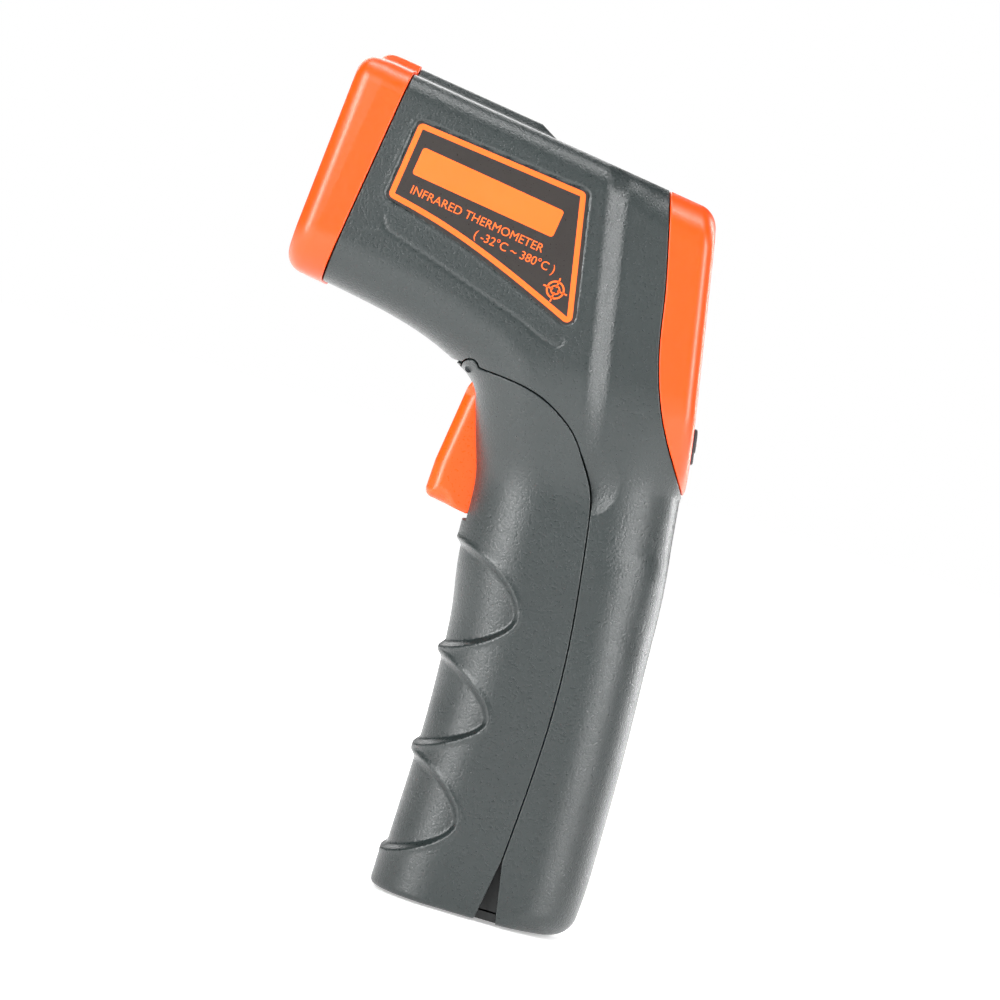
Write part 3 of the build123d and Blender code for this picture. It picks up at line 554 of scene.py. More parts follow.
def make_mesh(name, verts, faces, normals=None):
    mesh = bpy.data.meshes.new(name)
    verts = np.asarray(verts, float) * MM
    if isinstance(faces, np.ndarray):
        mesh.vertices.add(len(verts))
        mesh.vertices.foreach_set("co", verts.ravel())
        mesh.loops.add(faces.size)
        mesh.loops.foreach_set("vertex_index", faces.ravel().astype(np.int32))
        mesh.polygons.add(len(faces))
        mesh.polygons.foreach_set("loop_start", np.arange(0, faces.size, 3, dtype=np.int32))
        mesh.update(calc_edges=True)
        mesh.validate()
    else:
        mesh.from_pydata([tuple(v) for v in verts], [], faces)
        mesh.update()
    mesh.polygons.foreach_set("use_smooth", [True] * len(mesh.polygons))
    if normals is not None:
        mesh.normals_split_custom_set_from_vertices([tuple(v) for v in unit(normals)])
    obj = bpy.data.objects.new(name, mesh)
    bpy.context.scene.collection.objects.link(obj)
    return obj


def mirrored(verts, faces, normals):
    flip = np.array([1, -1, 1])
    return verts * flip, faces[:, ::-1], normals * flip


def skin(piece, low, high, cell, near, cuts, edge, wall=WALL, level=0.0):
    """Shell of one moulding, cut from the case form. cuts take (x, y, z) and are positive inside."""

    def outer(x, y, z):
        return field(x, y, z, piece) - level

    def inner(x, y, z):
        return field(x, y, z) - level

    p, tris = surface(outer, low, high, cell, near)
    for cut in cuts:
        p, tris = clip(p, tris, cut(p[:, 0], p[:, 1], p[:, 2]) - edge)
    return shell(p, tris, outer, inner, wall, edge)


SEAM = 0.1  # half the gap between two mouldings
EDGE = 0.22  # radius of a moulding's rim
FAR = 9.0  # positive, so that a cut leaves the rest of the moulding alone


def everywhere(x, z):
    return np.ones(np.broadcast(x, z).shape, bool)


def in_body(x, z):
    return (BEZEL(x, z) > -1) & (NOTCH(x, z) > -5) & (to_barrel(x, z)[0] < CAP_REAR + 1)


body = skin(
    "body", (-26, -1.0, -3), (64, 24.5, 163), 0.55, in_body,
    [
        lambda x, y, z: y - 0.1,
        lambda x, y, z: CAP_REAR - SEAM - to_barrel(x, z)[0],
        lambda x, y, z: BEZEL(x, z) - SEAM,
        lambda x, y, z: NOTCH(x, z) - SEAM,
    ],
    EDGE,
)


def brow_sides(x, y, z):
    """The strip in front of the hinge, and between the door's two arms."""
    return np.where(np.abs(y) < 9.1, x - 28.8, DOOR(x, z) - SEAM)


def nose_hole(up, radius):
    """Round hole in the front of the cap, its centre up from the barrel's axis."""

    def cut(x, y, z):
        xb, zb = to_barrel(x, z)
        return np.where(xb > -4, np.hypot(y, zb - up) - radius, FAR)

    return cut


brow = skin(
    None, (26, -23, 97), (38, 23, 108), 0.4, everywhere,
    [lambda x, y, z: 103.8 - z - SEAM, brow_sides],
    0.15,
)
cap = skin(
    "cap", (52, -24, 105), (76, 24, 163), 0.45, lambda x, z: to_barrel(x, z)[0] > CAP_REAR - 1,
    [
        lambda x, y, z: to_barrel(x, z)[0] - CAP_REAR - SEAM,
        nose_hole(0, 12.1),
        nose_hole(16.8, 2.0),
    ],
    0.3,
)


def face_opening(shape, grow):
    """Hole through the display face."""

    def cut(x, y, z):
        up, out = to_face(x, z)
        return np.where(out > -3.5, line_distance(y, up, shape, True) - grow, FAR)

    return cut


bezel = skin(
    "bezel", (-24, -23, 85), (8, 23, 153), 0.42, lambda x, z: BEZEL(x, z) < 1,
    [lambda x, y, z: -BEZEL(x, z) - SEAM, face_opening(WINDOW, 0)]
    + [face_opening(KEY_SHAPES[name], 0.3) for name in KEYS],
    0.25,
)


def trigger_slot(x, y, z):
    """Slot in the front of the door, wider at the hinge."""
    low = np.maximum(np.abs(y) - 6.4, 74.4 - z)
    high = np.maximum(np.abs(y) - 9.3, 98.3 - z)
    return np.where(x > 12, np.minimum(low, high), FAR)


def notch_box(x, y, z):
    """The room behind the gap at the base."""
    return np.minimum(x + 9, np.minimum(3 - x, np.minimum(z - 1.2, 13.4 - z)))


door = skin(
    "door", (-8, -23, -3), (37, 23, 109), 0.5, lambda x, z: DOOR(x, z) < 1,
    [lambda x, y, z: -DOOR(x, z) - SEAM, trigger_slot],
    EDGE,
)
# the backing behind the notch gap and the notch floor are near-black sheets: painted shade for the grey
# recess in shadow
backing = skin(
    None, (-11, -18, 0.5), (4, 18, 14), 0.6, everywhere, [notch_box], 0.1, wall=1.0, level=-2.15
)

left = make_mesh("shell_left", *body)
right = make_mesh("shell_right", *mirrored(*body))
cap_piece = make_mesh("nose_cap", *cap)
bezel_piece = make_mesh("display_bezel", *bezel)
door_piece = make_mesh("grip_door", *door)
backing_piece = make_mesh("notch_backing", *backing)
brow_piece = make_mesh("hinge_brow", *brow)


def inset(points, amount):
    """Polygon moved inwards by amount."""
    p = np.array(points, float)
    area2 = np.sum(p[:, 0] * np.roll(p[:, 1], -1) - np.roll(p[:, 0], -1) * p[:, 1])
    e = unit(np.roll(p, -1, 0) - p)
    n = np.stack([-e[:, 1], e[:, 0]], 1) * np.sign(area2)
    before = np.roll(n, 1, 0)
    mitre = n + before
    return [tuple(q) for q in p + mitre * (amount / np.maximum((mitre * n).sum(1), 0.4))[:, None]]


TRIGGER_HALF = 5.4
TRIGGER_PIVOT = (25.4, 101.8)
TRIGGER_SIDE = [
    (21.6, 75.3), (31.9, 76.9), (31.6, 84), (29.5, 99.6), (27.6, 104),
    (22.4, 101.0), (18.4, 96.2), (18.4, 87.4), (20.0, 86.6), (20.4, 81.4),
]


def trigger_field(x, y, z):
    """Blade with a round front edge, its hub, and the bore for its pin."""
    side = line_distance(x, z, inset(TRIGGER_SIDE, 1.7), True) - 1.7
    soft = 0.5 + 2.5 * smooth((x - 24.5 + (z - 76) * 0.05) / 3.5) * smooth((101 - z) / 3)
    hub = np.hypot(x - TRIGGER_PIVOT[0], z - TRIGGER_PIVOT[1])
    half = np.abs(y) - TRIGGER_HALF
    return np.maximum(np.minimum(meet(side, half, soft), meet(hub - 3.0, half, 0.4)), 1.1 - hub)


def trigger_blade():
    p, tris = surface(trigger_field, (17, -6.6, 73.5), (34.2, 6.6, 106.5), 0.4, everywhere)
    return make_mesh("trigger_blade", p, tris, gradient(trigger_field, p))


def sight_painted_shade():
    """Dark triangular sheet on the rear face of the sighting ridge: painted shade, where the grey ridge falls
    dark.
    """
    rows, columns = 8, 12
    top, bottom = [], []
    for i in range(rows + 1):
        s = i / rows
        for j in range(columns + 1):
            y = (2 * j / columns - 1) * (4.4 * (1 - s) + 0.5 * s)
            xb = -39.4 + 4.3 * s
            zb = 22.5 + ridge(abs(y)) * (xb - RIDGE_REAR) / RIDGE_RISE
            for points, shift in ((top, 0.07), (bottom, -0.3)):
                X, Z = to_row(xb, zb + shift)
                points.append((X, y, Z))
    count, wide = len(top), columns + 1
    faces = []
    for i in range(rows):
        for j in range(columns):
            a = i * wide + j
            quad = [a, a + 1, a + wide + 1, a + wide]
            faces += [quad, [q + count for q in reversed(quad)]]
    edge = [j for j in range(wide)] + [i * wide + columns for i in range(1, rows + 1)]
    edge += [rows * wide + j for j in range(columns - 1, -1, -1)] + [i * wide for i in range(rows - 1, 0, -1)]
    for a, b in zip(edge, edge[1:] + edge[:1]):
        faces.append([b, a, a + count, b + count])
    return make_mesh("sight_painted_shade", np.array(top + bottom), faces)


SPRING_X = (12.65, 19.5)
SPRING_Z = 84.0
SPRING_RADIUS = 2.2
WIRE = 0.27


def trigger_coil():
    """Return spring behind the blade."""
    turns, around, steps = 5.4, 8, 130
    verts, faces = [], []
    for i in range(steps + 1):
        t = i / steps
        a = 2 * math.pi * turns * t
        x = SPRING_X[0] + (SPRING_X[1] - SPRING_X[0]) * t
        for k in range(around):
            q = 2 * math.pi * k / around
            r = SPRING_RADIUS + WIRE * math.cos(q)
            verts.append((x + WIRE * math.sin(q), r * math.cos(a), SPRING_Z + r * math.sin(a)))
    for i in range(steps):
        for k in range(around):
            a, b = i * around + k, i * around + (k + 1) % around
            faces.append([a, b, b + around, a + around])
    faces += [list(range(around))[::-1], [steps * around + k for k in range(around)]]
    return make_mesh("trigger_coil", verts, faces)


facet_piece = sight_painted_shade()
coil_piece = trigger_coil()
trigger_piece = trigger_blade()

# ---------------------------------------------------------------- materials
def rgb(r, g, b):
    """sRGB 0-255 to linear."""
    out = []
    for c in (r, g, b):
        c /= 255
        out.append(c / 12.92 if c <= 0.04045 else ((c + 0.055) / 1.055) ** 2.4)
    return (*out, 1.0)


class Nodes:
    """Short way to write a node tree on object coordinates."""

    def __init__(self, name):
        self.material = bpy.data.materials.new(name)
        self.material.use_nodes = True
        self.tree = self.material.node_tree
        self.shader = self.tree.nodes["Principled BSDF"]
        self.place = self.add("ShaderNodeTexCoord").outputs["Object"]

    def add(self, kind, inputs=None, **settings):
        node = self.tree.nodes.new(kind)
        for key, value in settings.items():
            setattr(node, key, value)
        for key, value in (inputs or {}).items():
            if isinstance(value, bpy.types.NodeSocket):
                self.tree.links.new(value, node.inputs[key])
            else:
                node.inputs[key].default_value = value
        return node

    def noise(self, scale, detail=2.0, rough=0.5):
        node = self.add("ShaderNodeTexNoise", {"Vector": self.place, "Scale": scale, "Detail": detail})
        node.inputs["Roughness"].default_value = rough
        return node.outputs["Fac"]

    def ramp(self, fac, low, high, a, b):
        node = self.add("ShaderNodeMapRange", {"Value": fac, "From Min": low, "From Max": high})
        node.inputs["To Min"].default_value = a
        node.inputs["To Max"].default_value = b
        return node.outputs["Result"]

    def mix(self, fac, a, b):
        node = self.add("ShaderNodeMix", data_type="RGBA")
        for socket, value in zip((0, 6, 7), (fac, a, b)):
            if isinstance(value, bpy.types.NodeSocket):
                self.tree.links.new(value, node.inputs[socket])
            else:
                node.inputs[socket].default_value = value
        return node.outputs[2]

    def bump(self, height, strength, distance):
        node = self.add("ShaderNodeBump", {"Height": height, "Strength": strength, "Distance": distance})
        self.tree.links.new(node.outputs["Normal"], self.shader.inputs["Normal"])

    def set(self, **values):
        for key, value in values.items():
            socket = self.shader.inputs[key.replace("_", " ")]
            if isinstance(value, bpy.types.NodeSocket):
                self.tree.links.new(value, socket)
            else:
                socket.default_value = value
        return self


def darker(colour, share):
    return tuple(c * share for c in colour[:3]) + (1.0,)


def plastic(name, colour, rough=0.4, grain=1700, strength=0.25, depth=0.00005, tone=0.06, spec=0.5):
    """Moulded plastic: fine spark-eroded grain and slight unevenness of colour and gloss."""
    m = Nodes(name)
    light = tuple(min(1.0, c * (1 + tone)) for c in colour[:3]) + (1.0,)
    fine = m.noise(grain, 3.0, 0.6)
    broad = m.noise(45, 2.0)
    m.set(Base_Color=m.mix(m.ramp(broad, 0.3, 0.7, 0, 1), darker(colour, 1 - tone), light))
    m.set(Roughness=m.ramp(fine, 0.3, 0.7, rough - 0.05, rough + 0.07), Specular_IOR_Level=spec)
    m.bump(fine, strength, depth)
    return m.material


def metal(name, colour, rough=0.3, brush=900):
    """Metal with a fine grain."""
    m = Nodes(name)
    fine = m.noise(brush, 4.0, 0.6)
    m.set(Base_Color=m.mix(fine, darker(colour, 0.85), colour), Metallic=1.0)
    m.set(Roughness=m.ramp(fine, 0.3, 0.7, rough - 0.08, rough + 0.1))
    m.bump(fine, 0.15, 0.00002)
    return m.material


def clear(name, colour, alpha, rough=0.08):
    """Thin clear part, mostly see-through by alpha."""
    m = Nodes(name)
    fine = m.noise(700, 2.0)
    m.set(Base_Color=m.mix(fine, colour, darker(colour, 0.9)), Alpha=alpha)
    m.set(Roughness=m.ramp(fine, 0.3, 0.7, rough, rough + 0.05))
    return m.material


def display(name):
    """Reflective panel lit from its top edge, with a faint grain."""
    m = Nodes(name)
    X, Y, Z = face_point(0.5, 41.5, -2.0)
    reach = m.add("ShaderNodeVectorMath", {0: m.place, 1: (X * MM, Y * MM, Z * MM)}, operation="DISTANCE")
    glow = m.ramp(reach.outputs["Value"], 0.001, 0.017, 1.0, 0.0)
    colour = m.mix(glow, rgb(92, 100, 14), rgb(150, 158, 16))
    grain = m.noise(1500, 2.0)
    m.set(Base_Color=m.mix(m.ramp(grain, 0.3, 0.7, 0, 0.12), colour, rgb(70, 80, 14)))
    m.set(Roughness=m.ramp(grain, 0.3, 0.7, 0.35, 0.45), Emission_Color=colour, Emission_Strength=0.12)
    return m.material


looks = {
    "shell_plastic": plastic("grey_plastic", rgb(29, 36, 36), 0.3, 2100, 1.0, 0.00013, spec=0.62),
    "orange_plastic": plastic("orange_plastic", rgb(238, 67, 0), 0.34, strength=0.16, tone=0.03),
    "trigger_plastic": plastic("trigger_orange", rgb(240, 76, 0), 0.3, strength=0.16, tone=0.03),
    "key_rubber": plastic("key_rubber", rgb(34, 33, 36), 0.55, 1800, 0.3),
    "key_carbon": plastic("carbon", rgb(14, 14, 15), 0.7),
    "mat_rubber": plastic("mat_rubber", rgb(54, 54, 57), 0.6, 1500, 0.3),
    "window_plastic": clear("window_plastic", rgb(40, 44, 30), 0.05, 0.04),
    "lcd": display("display_panel"),
    "backlight": plastic("light_guide", rgb(214, 226, 190), 0.3),
    "holder_plastic": plastic("holder_plastic", rgb(40, 41, 43), 0.45),
    "zebra": plastic("striped_rubber", rgb(150, 140, 120), 0.6),
    "circuit_board": plastic("circuit_board", rgb(26, 84, 50), 0.4, 1200, 0.4),
    "chip": plastic("chip_black", rgb(24, 24, 26), 0.5),
    "steel": metal("steel", rgb(190, 192, 195), 0.3),
    "spring_steel": metal("spring_steel", rgb(205, 207, 210), 0.22),
    "black_plastic": plastic("black_plastic", rgb(23, 23, 25), 0.42),
    "lens": plastic("lens_plastic", rgb(216, 218, 212), 0.25, 900, 0.1),
    "filter": metal("filter", rgb(120, 100, 140), 0.12),
    "can_metal": metal("can_metal", rgb(206, 200, 180), 0.25),
    "gold_pins": metal("gold", rgb(230, 190, 90), 0.25),
    "laser_brass": metal("brass", rgb(202, 164, 84), 0.28),
    "clear_glass": clear("clear_glass", rgb(235, 240, 245), 0.15),
    "lead_red": plastic("lead_red", rgb(190, 26, 24), 0.4),
    "lead_black": plastic("lead_black", rgb(22, 22, 24), 0.4),
    "lead_grey": plastic("lead_grey", rgb(120, 124, 128), 0.4),
    "battery_jacket": plastic("battery_jacket", rgb(42, 66, 110), 0.3, tone=0.1),
    "label_film": plastic("label_film", rgb(37, 33, 31), 0.32, 3200, 0.12, tone=0.08),
    "inner": plastic("inner_grey", rgb(60, 68, 70), 0.5),
    # painted shade: near-black sheets in the base notch
    "shadow": plastic("notch_painted_shade", rgb(17, 19, 19), 0.6),
    "dark_steel": metal("dark_steel", rgb(64, 66, 68), 0.4),
    "maroon": plastic("key_surround", rgb(70, 26, 24), 0.45),
    "ink": plastic("print_orange", rgb(236, 92, 18), 0.4, tone=0.04),
    "segment": plastic("segment_black", rgb(8, 12, 6), 0.6, spec=0.2),
    "pale_segment": plastic("segment_ground", rgb(120, 132, 40), 0.5),
}

for part in frame["record"]["subparts"]:
    node = nodes[part["node"]]
    node.data.materials.clear()
    look = "dark_steel" if part["node"] == "door_hinge_pin" else part["material_slot"]
    node.data.materials.append(looks[look])


def finish_piece(obj, body_name, look, stands_for=()):
    obj.data.materials.clear()
    obj.data.materials.append(looks[look])
    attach(obj, body_name)
    if stands_for:
        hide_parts(*stands_for)
    return obj


finish_piece(left, "case", "shell_plastic", ["body_left"])
finish_piece(right, "case", "shell_plastic", ["body_right"])
finish_piece(cap_piece, "case", "orange_plastic", ["front_cap"])
finish_piece(bezel_piece, "case", "orange_plastic", ["rear_bezel"])
finish_piece(door_piece, "door", "shell_plastic", ["battery_door"])
finish_piece(backing_piece, "case", "shadow")
finish_piece(brow_piece, "case", "shell_plastic")
# black sheet on the ridge's rear face: painted shade
finish_piece(facet_piece, "case", "black_plastic")
finish_piece(coil_piece, "case", "spring_steel", ["trigger_spring"])
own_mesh(coil_piece)
finish_piece(trigger_piece, "trigger", "trigger_plastic", ["trigger"])

# ---------------------------------------------------------------- flat details
def prism(name, shapes, place, low, high):
    """Plates from 2-D outlines; each shape is a list of loops, the first one outside, the others holes."""
    verts, faces = [], []
    for loops in shapes:
        flat = [[Vector((u, v, 0)) for u, v in loop] for loop in loops]
        caps = tessellate_polygon(flat)
        points = [p for loop in loops for p in loop]
        count, start = len(points), len(verts)
        verts += [place(u, v, low) for u, v in points] + [place(u, v, high) for u, v in points]
        faces += [[start + i for i in tri] for tri in caps]
        faces += [[start + count + i for i in reversed(tri)] for tri in caps]
        first = start
        for loop in loops:
            size = len(loop)
            for i in range(size):
                a, b = first + i, first + (i + 1) % size
                faces.append([a, b, b + count, a + count])
            first += size
    mesh = bpy.data.meshes.new(name)
    mesh.from_pydata([tuple(c * MM for c in v) for v in verts], [], faces)
    edit = bmesh.new()
    edit.from_mesh(mesh)
    bmesh.ops.recalc_face_normals(edit, faces=edit.faces)
    edit.to_mesh(mesh)
    obj = bpy.data.objects.new(name, mesh)
    bpy.context.scene.collection.objects.link(obj)
    return obj


CHEEK = [(-15, 61), (0.5, 60.5), (13.5, 72), (19.4, 80), (20.4, 88), (21.2, 91.5), (21.7, 98.5), (24.6, 99),
         (27.8, 100.8), (28.5, 105.6), (0, 105.6), (-4.5, 100), (-12, 90), (-15, 84)]
CRADLE = [(-18.6, 4), (-12.7, 4), (-12.7, 49.5), (-18.2, 49.5)]
NOTCH_FLOOR = [(-6.6, 0.25), (-1.2, 0.25), (-1.6, 1.9), (-6.4, 1.9)]
SHELF = [(-17.5, 49.6), (-6.0, 55.5), (-6.0, 57.0), (-17.2, 57.0)]
# near-black floor of the notch: painted shade
notch_floor = prism("notch_floor", [[NOTCH_FLOOR]], lambda u, v, h: (u, h, v), -13.4, 13.4)
finish_piece(notch_floor, "case", "shadow")
for side, y_side in (("left", 1), ("right", -1)):
    for part, outline, low, high in (
        ("web", CHEEK, 7.0, 8.9),
        ("cradle_inner", CRADLE, 2.5, 3.8),
        ("cradle_outer", CRADLE, 7.2, 8.5),
        ("shelf", SHELF, 1.0, 9.5),
    ):
        rib = prism(f"{part}_{side}", [[outline]], lambda u, v, h: (u, y_side * h, v), low, high)
        finish_piece(rib, "case", "inner")


LABEL_FACE = 21.45
PRINT = 0.03  # thickness of all print


def on_left(u, v, h):
    """Point at height h on the left label, from the barrel side view."""
    X, Z = to_row(u, v)
    return X, LABEL_FACE + h, Z


def on_right(u, v, h):
    X, Z = to_row(u, v)
    return X, -LABEL_FACE - h, Z


def ring(x, y, r, width, steps=28):
    turns = [2 * math.pi * i / steps for i in range(steps)]
    radii = (r + width / 2, r - width / 2)
    return [[(x + q * math.cos(t), y + q * math.sin(t)) for t in turns] for q in radii]


def bar(x0, y0, x1, y1, width):
    dx, dy = x1 - x0, y1 - y0
    size = math.hypot(dx, dy)
    nx, ny = -dy / size * width / 2, dx / size * width / 2
    return [[(x0 + nx, y0 + ny), (x1 + nx, y1 + ny), (x1 - nx, y1 - ny), (x0 - nx, y0 - ny)]]


def crosshair(x, y, r):
    shapes = [ring(x, y, r, 0.34), ring(x, y, r * 0.5, 0.28)]
    for turn in range(4):
        c, s = math.cos(turn * math.pi / 2), math.sin(turn * math.pi / 2)
        shapes.append(bar(x + 0.3 * r * c, y + 0.3 * r * s, x + 1.5 * r * c, y + 1.5 * r * s, 0.3))
    return shapes


def lettering(name, text, place, x, y, width, direction=1):
    """Generic lettering, set to a given width, as thin raised print."""
    curve = bpy.data.curves.new(name, "FONT")
    curve.body = text
    curve.extrude = 0.5
    source = bpy.data.objects.new(name + "_source", curve)
    bpy.context.scene.collection.objects.link(source)
    bpy.context.view_layer.update()
    mesh = bpy.data.meshes.new_from_object(source.evaluated_get(bpy.context.evaluated_depsgraph_get()))
    bpy.data.objects.remove(source)
    co = np.zeros(len(mesh.vertices) * 3)
    mesh.vertices.foreach_get("co", co)
    co = co.reshape(-1, 3)
    scale = width / (co[:, 0].max() - co[:, 0].min())
    co[:, 0] -= co[:, 0].min()
    out = [place(x + direction * a * scale, y + b * scale, PRINT * (c + 0.5)) for a, b, c in co]
    mesh.vertices.foreach_set("co", (np.array(out) * MM).ravel())
    mesh.update()
    edit = bmesh.new()
    edit.from_mesh(mesh)
    bmesh.ops.remove_doubles(edit, verts=edit.verts, dist=1e-7)
    bmesh.ops.recalc_face_normals(edit, faces=edit.faces)
    edit.to_mesh(mesh)
    obj = bpy.data.objects.new(name, mesh)
    bpy.context.scene.collection.objects.link(obj)
    return obj


frame_loop = label_outline(0)
outline_left = [[inset(frame_loop, 0.2), inset(frame_loop, 1.25)]]
outline_right = [[inset(frame_loop, 0.3), inset(frame_loop, 0.95)]]
panel = [[box_outline(-46.5, 4.0, -16.6, 9.6, 0.6)]]
left_shapes = outline_left + panel + crosshair(-51.2, -5.0, 1.65)
print_left = prism("left_label_print", left_shapes, on_left, 0, PRINT)
finish_piece(print_left, "case", "ink")
for name, text, x, y, width in (
    ("left_text_type", "INFRARED THERMOMETER", -17.8, 0.45, 28.0),
    ("left_text_range", "( -32\u00b0C ~ 380\u00b0C )", -32.5, -2.3, 17.0),
):
    finish_piece(lettering(name, text, on_left, x, y, width, -1), "case", "ink")

# right label: the instrument, its cone of view and three spots
gun = [
    [(-45.6, 7.6), (-41.0, 8.2), (-40.8, 6.0), (-42.8, 5.6), (-43.4, 4.4), (-44.0, 4.6), (-44.4, 1.6),
     (-46.2, 1.8)]
]
cones = []
for rise in (1.35, -1.35):
    cones.append(bar(-40.5, 7.0, -18.5, 7.0 + rise, 0.22))
cones.append(bar(-40.5, 7.0, -18.5, 7.0, 0.18))
turns = np.linspace(0, 2 * math.pi, 20, endpoint=False)
for x, tall in ((-33.5, 0.55), (-27.0, 0.95), (-19.0, 1.5)):
    cones.append(
        [[(x + q * 0.45 * math.cos(t), 7.0 + q * math.sin(t)) for t in turns] for q in (tall, tall - 0.2)]
    )
right_shapes = outline_right + [gun] + cones + crosshair(-53.4, -6.0, 1.5)
print_right = prism("right_label_print", right_shapes, on_right, 0, PRINT)
finish_piece(print_right, "case", "ink")
for name, text, x, y, width in (
    ("right_text_ratio", "D:S = 12:1", -46.3, 10.6, 9.0),
    ("right_text_near", "300mm", -35.6, 10.6, 4.6),
    ("right_text_mid", "900mm", -28.6, 10.6, 4.6),
    ("right_text_far", "1500mm", -21.6, 10.6, 5.4),
    ("right_text_near_inch", "12\"", -34.4, 3.4, 2.0),
    ("right_text_mid_inch", "36\"", -27.6, 3.4, 2.0),
    ("right_text_far_inch", "60\"", -20.2, 3.4, 2.0),
):
    finish_piece(lettering(name, text, on_right, x, y, width), "case", "ink")

# display: seven-segment digits and small marks, just in front of the panel behind the window
MARKS_BACK = -1.99
MARKS_FRONT = -1.95
SEGMENTS = {"2": "abged", "4": "fgbc", "3": "abgcd"}


def digit(symbol, x, y, width, height, thick):
    """Seven-segment digit from its lower corner at x, y, leaning a little."""
    w, h, t = width, height, thick
    lean = e = 0.12
    mid = h / 2

    def level(z):
        return [
            (t * 0.6 + e, z), (t * 1.1 + e, z + t / 2), (w - t * 1.1 - e, z + t / 2),
            (w - t * 0.6 - e, z), (w - t * 1.1 - e, z - t / 2), (t * 1.1 + e, z - t / 2),
        ]

    def upright(u, z0, z1):
        return [
            (u, z0 + t * 0.35 + e), (u + t / 2, z0 + t * 0.85 + e), (u + t / 2, z1 - t * 0.85 - e),
            (u, z1 - t * 0.35 - e), (u - t / 2, z1 - t * 0.85 - e), (u - t / 2, z0 + t * 0.85 + e),
        ]

    left_x, right_x = t / 2, w - t / 2
    shapes = {
        "a": level(h - t / 2),
        "b": upright(right_x, mid, h),
        "c": upright(right_x, 0, mid),
        "d": level(t / 2),
        "e": upright(left_x, 0, mid),
        "f": upright(left_x, mid, h),
        "g": level(mid),
    }
    return [[[(x + u + lean * v, y + v) for u, v in shapes[k]]] for k in SEGMENTS[symbol]]


def ray(x, y, near, far, angle, width):
    """Short stroke that points away from x, y."""
    c, s = math.cos(angle), math.sin(angle)
    return bar(x + near * c, y + near * s, x + far * c, y + far * s, width)


marks = digit("2", -5.6, 22.6, 4.8, 9.0, 1.15) + digit("4", 1.0, 22.6, 4.8, 9.0, 1.15)
marks += digit("3", 7.4, 22.2, 3.4, 5.8, 0.8)
marks += [[box_outline(6.3, 22.3, 7.1, 23.1, 0.2)], ring(8.9, 31.2, 0.55, 0.28, 16)]
# laser mark
marks += [[[(1.5, 37.0), (2.9, 39.6), (4.3, 37.0)], [(2.2, 37.45), (3.6, 37.45), (2.9, 38.8)]]]
marks += [ring(2.9, 37.85, 0.25, 0.2, 12)]
# lamp mark
marks += [ring(6.2, 38.7, 0.75, 0.25, 16), [box_outline(5.85, 36.9, 6.55, 37.8, 0.1)]]
marks += [ray(6.2, 38.7, 1.1, 1.5, angle, 0.16) for angle in (0.2, 0.95, 1.57, 2.2, 2.94)]
# battery mark
marks += [[box_outline(8.0, 37.0, 11.3, 38.8, 0.2), box_outline(8.2, 37.2, 11.1, 38.6, 0.1)]]
marks += [[box_outline(11.35, 37.5, 11.7, 38.3, 0.1)]]
marks += [[box_outline(8.4 + 0.68 * i, 37.4, 8.85 + 0.68 * i, 38.4, 0.08)] for i in range(4)]
# ground of the word HOLD
marks += [[box_outline(-11.6, 37.1, -6.4, 39.0, 0.15)]]
display_marks = prism("display_segments", marks, face_point, MARKS_BACK, MARKS_FRONT)
finish_piece(display_marks, "case", "segment")
for name, text, back, x, y, width, look in (
    ("display_unit", "C", MARKS_BACK, 9.6, 29.2, 1.7, "segment"),
    ("display_hold", "HOLD", MARKS_FRONT, -11.3, 37.45, 4.6, "pale_segment"),
):
    word = lettering(name, text, lambda u, v, h: face_point(u, v, h + back), x, y, width)
    finish_piece(word, "case", look)

# keys: print on top of each rubber key, and the dark ring round it
KEY_TOP = 0.9


def on_key(u, v, h):
    return face_point(u, v, KEY_TOP + h)


for name, (x, y) in KEYS.items():
    body_name = name.replace("_button", "_key")
    if name == "laser_button":
        outside = [(x - 1.7, y - 1.0), (x + 1.7, y - 1.0), (x, y + 1.8)]
        inside = [(x - 1.0, y - 0.6), (x + 1.0, y - 0.6), (x, y + 1.05)]
        shapes = [[outside, inside], ring(x, y - 0.05, 0.3, 0.25, 12)]
    elif name == "light_button":
        shapes = [ring(x, y + 0.4, 0.85, 0.3, 18), [box_outline(x - 0.45, y - 1.4, x + 0.45, y - 0.6, 0.1)]]
        shapes += [ray(x, y + 0.4, 1.25, 1.75, angle, 0.22) for angle in (0.1, 0.85, 1.57, 2.3, 3.04)]
    else:
        shapes = [ring(x - 2.6, y + 0.75, 0.25, 0.16, 10), ring(x + 0.9, y + 0.75, 0.25, 0.16, 10)]
        key_text = lettering("unit_key_text", "C/ F", on_key, x - 2.25, y - 1.2, 4.6)
        finish_piece(key_text, body_name, "ink")
    finish_piece(prism(name + "_print", shapes, on_key, 0, PRINT), body_name, "ink")
    edges = [inset(KEY_SHAPES[name], -0.75), inset(KEY_SHAPES[name], -0.32)]
    surround = prism(name + "_surround", [edges], face_point, -0.36, -0.3)
    finish_piece(surround, "case", "maroon")

# ---------------------------------------------------------------- stage, light and camera
def area(name, place, target, size, power):
    light = bpy.data.lights.new(name, "AREA")
    light.shape = "RECTANGLE"
    light.size, light.size_y = size
    light.energy = power
    obj = bpy.data.objects.new(name, light)
    obj.location = place
    obj.rotation_mode = "QUATERNION"
    obj.rotation_quaternion = (Vector(target) - Vector(place)).to_track_quat("-Z", "Y")
    bpy.context.scene.collection.objects.link(obj)


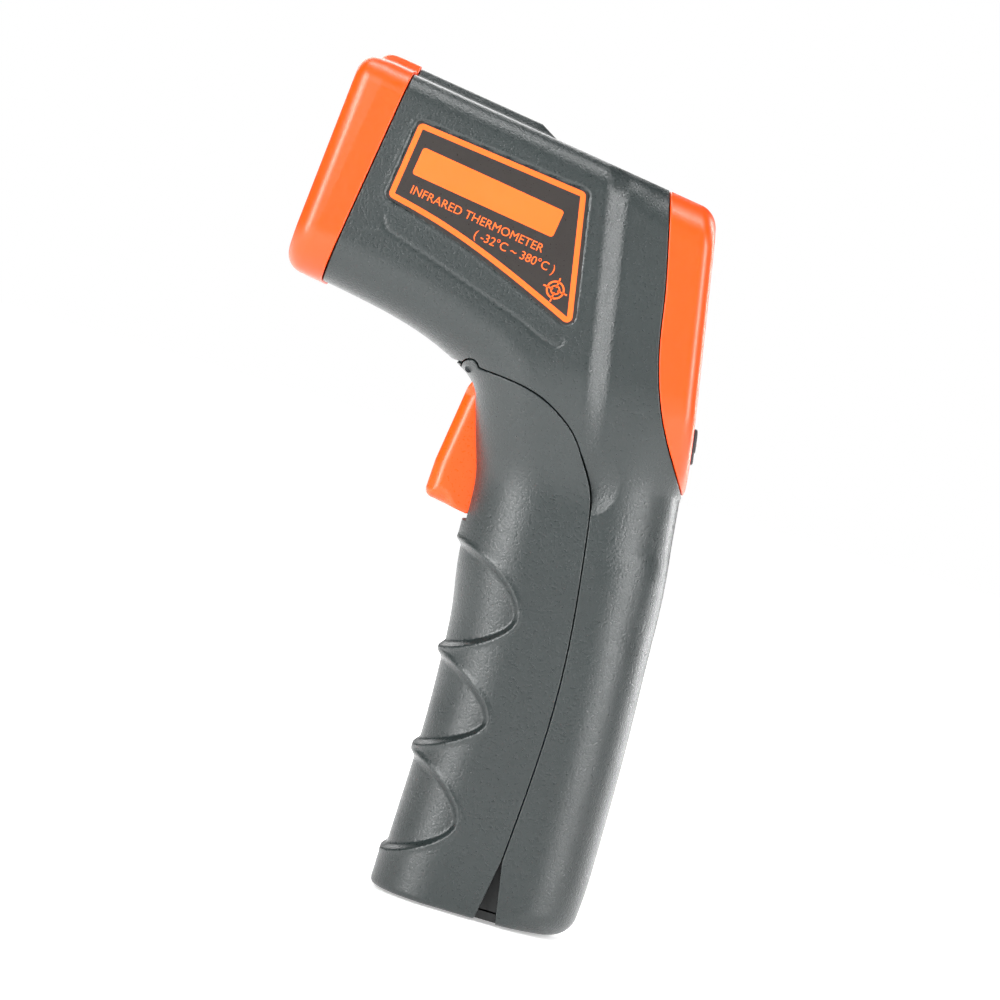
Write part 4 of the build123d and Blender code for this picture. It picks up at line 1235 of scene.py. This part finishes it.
floor_mesh = bpy.data.meshes.new("floor")
floor_edit = bmesh.new()
bmesh.ops.create_circle(floor_edit, cap_ends=True, segments=96, radius=6.0)
floor_edit.to_mesh(floor_mesh)
floor = bpy.data.objects.new("floor", floor_mesh)
floor.location = (0, 0, -0.0005)
bpy.context.scene.collection.objects.link(floor)
floor_look = Nodes("floor_white")
floor_grain = floor_look.noise(60, 2.0)
floor_look.set(Base_Color=floor_look.mix(floor_grain, rgb(246, 246, 246), rgb(250, 250, 250)), Roughness=0.8)
reach = floor_look.add("ShaderNodeVectorMath", {0: floor_look.place}, operation="LENGTH").outputs["Value"]
floor_look.set(Emission_Color=(1, 1, 1, 1), Emission_Strength=floor_look.ramp(reach, 0.12, 1.0, 0.4, 0.95))
floor_mesh.materials.append(floor_look.material)

# the world is white to the camera, and lights the object much less
world = bpy.data.worlds.new("studio")
world.use_nodes = True
tree = world.node_tree
tree.nodes["Background"].inputs["Color"].default_value = (1, 1, 1, 1)
path = tree.nodes.new("ShaderNodeLightPath")
strength = tree.nodes.new("ShaderNodeMapRange")
strength.inputs["To Min"].default_value = 0.08
strength.inputs["To Max"].default_value = 1.0
tree.links.new(path.outputs["Is Camera Ray"], strength.inputs["Value"])
tree.links.new(strength.outputs["Result"], tree.nodes["Background"].inputs["Strength"])
bpy.context.scene.world = world
bpy.context.scene.view_settings.view_transform = "Standard"

for name, place, target, size, power in (
    ("key", (0.3, 0.85, 0.6), (0.02, 0, 0.09), (0.6, 0.4), 2.2),
    ("top", (0.05, 0.05, 0.9), (0.02, 0, 0.09), (0.8, 0.14), 5),
    ("front_strip", (0.5, 0.5, 0.2), (0.02, 0, 0.08), (0.2, 0.8), 9),
    ("rear_strip", (-0.55, 0.44, 0.2), (0.0, 0, 0.08), (0.11, 0.8), 7),
    ("rear", (-0.8, -0.1, 0.35), (0.0, 0, 0.09), (0.35, 0.7), 0.4),
    ("far", (0.3, -0.8, 0.55), (0.02, 0, 0.09), (0.7, 0.6), 5),
    ("far_strip", (-0.5, -0.5, 0.25), (0.02, 0, 0.09), (0.12, 0.8), 5),
):
    area(name, place, target, size, power)

# camera: on the object's left, rolled with it as in the photograph
SENSOR = 36
DISTANCE = 0.85
VIEW_WIDTH = 0.199
ROLL = math.radians(16.5)
ELEVATION = math.radians(1.5)
TARGET = Vector((0.0170, 0, 0.0799))
back = Vector((0, math.cos(ELEVATION), math.sin(ELEVATION)))
level_right = Vector((-1, 0, 0))
level_up = back.cross(level_right)
right_axis = level_right * math.cos(ROLL) + level_up * math.sin(ROLL)
up_axis = back.cross(right_axis)
camera = bpy.data.objects.new("camera", bpy.data.cameras.new("camera"))
camera.data.sensor_width = SENSOR
camera.data.lens = SENSOR * DISTANCE / VIEW_WIDTH
axes = Matrix((right_axis, up_axis, back)).transposed().to_4x4()
camera.matrix_world = Matrix.Translation(TARGET + back * DISTANCE) @ axes
bpy.context.scene.collection.objects.link(camera)
bpy.context.scene.camera = camera
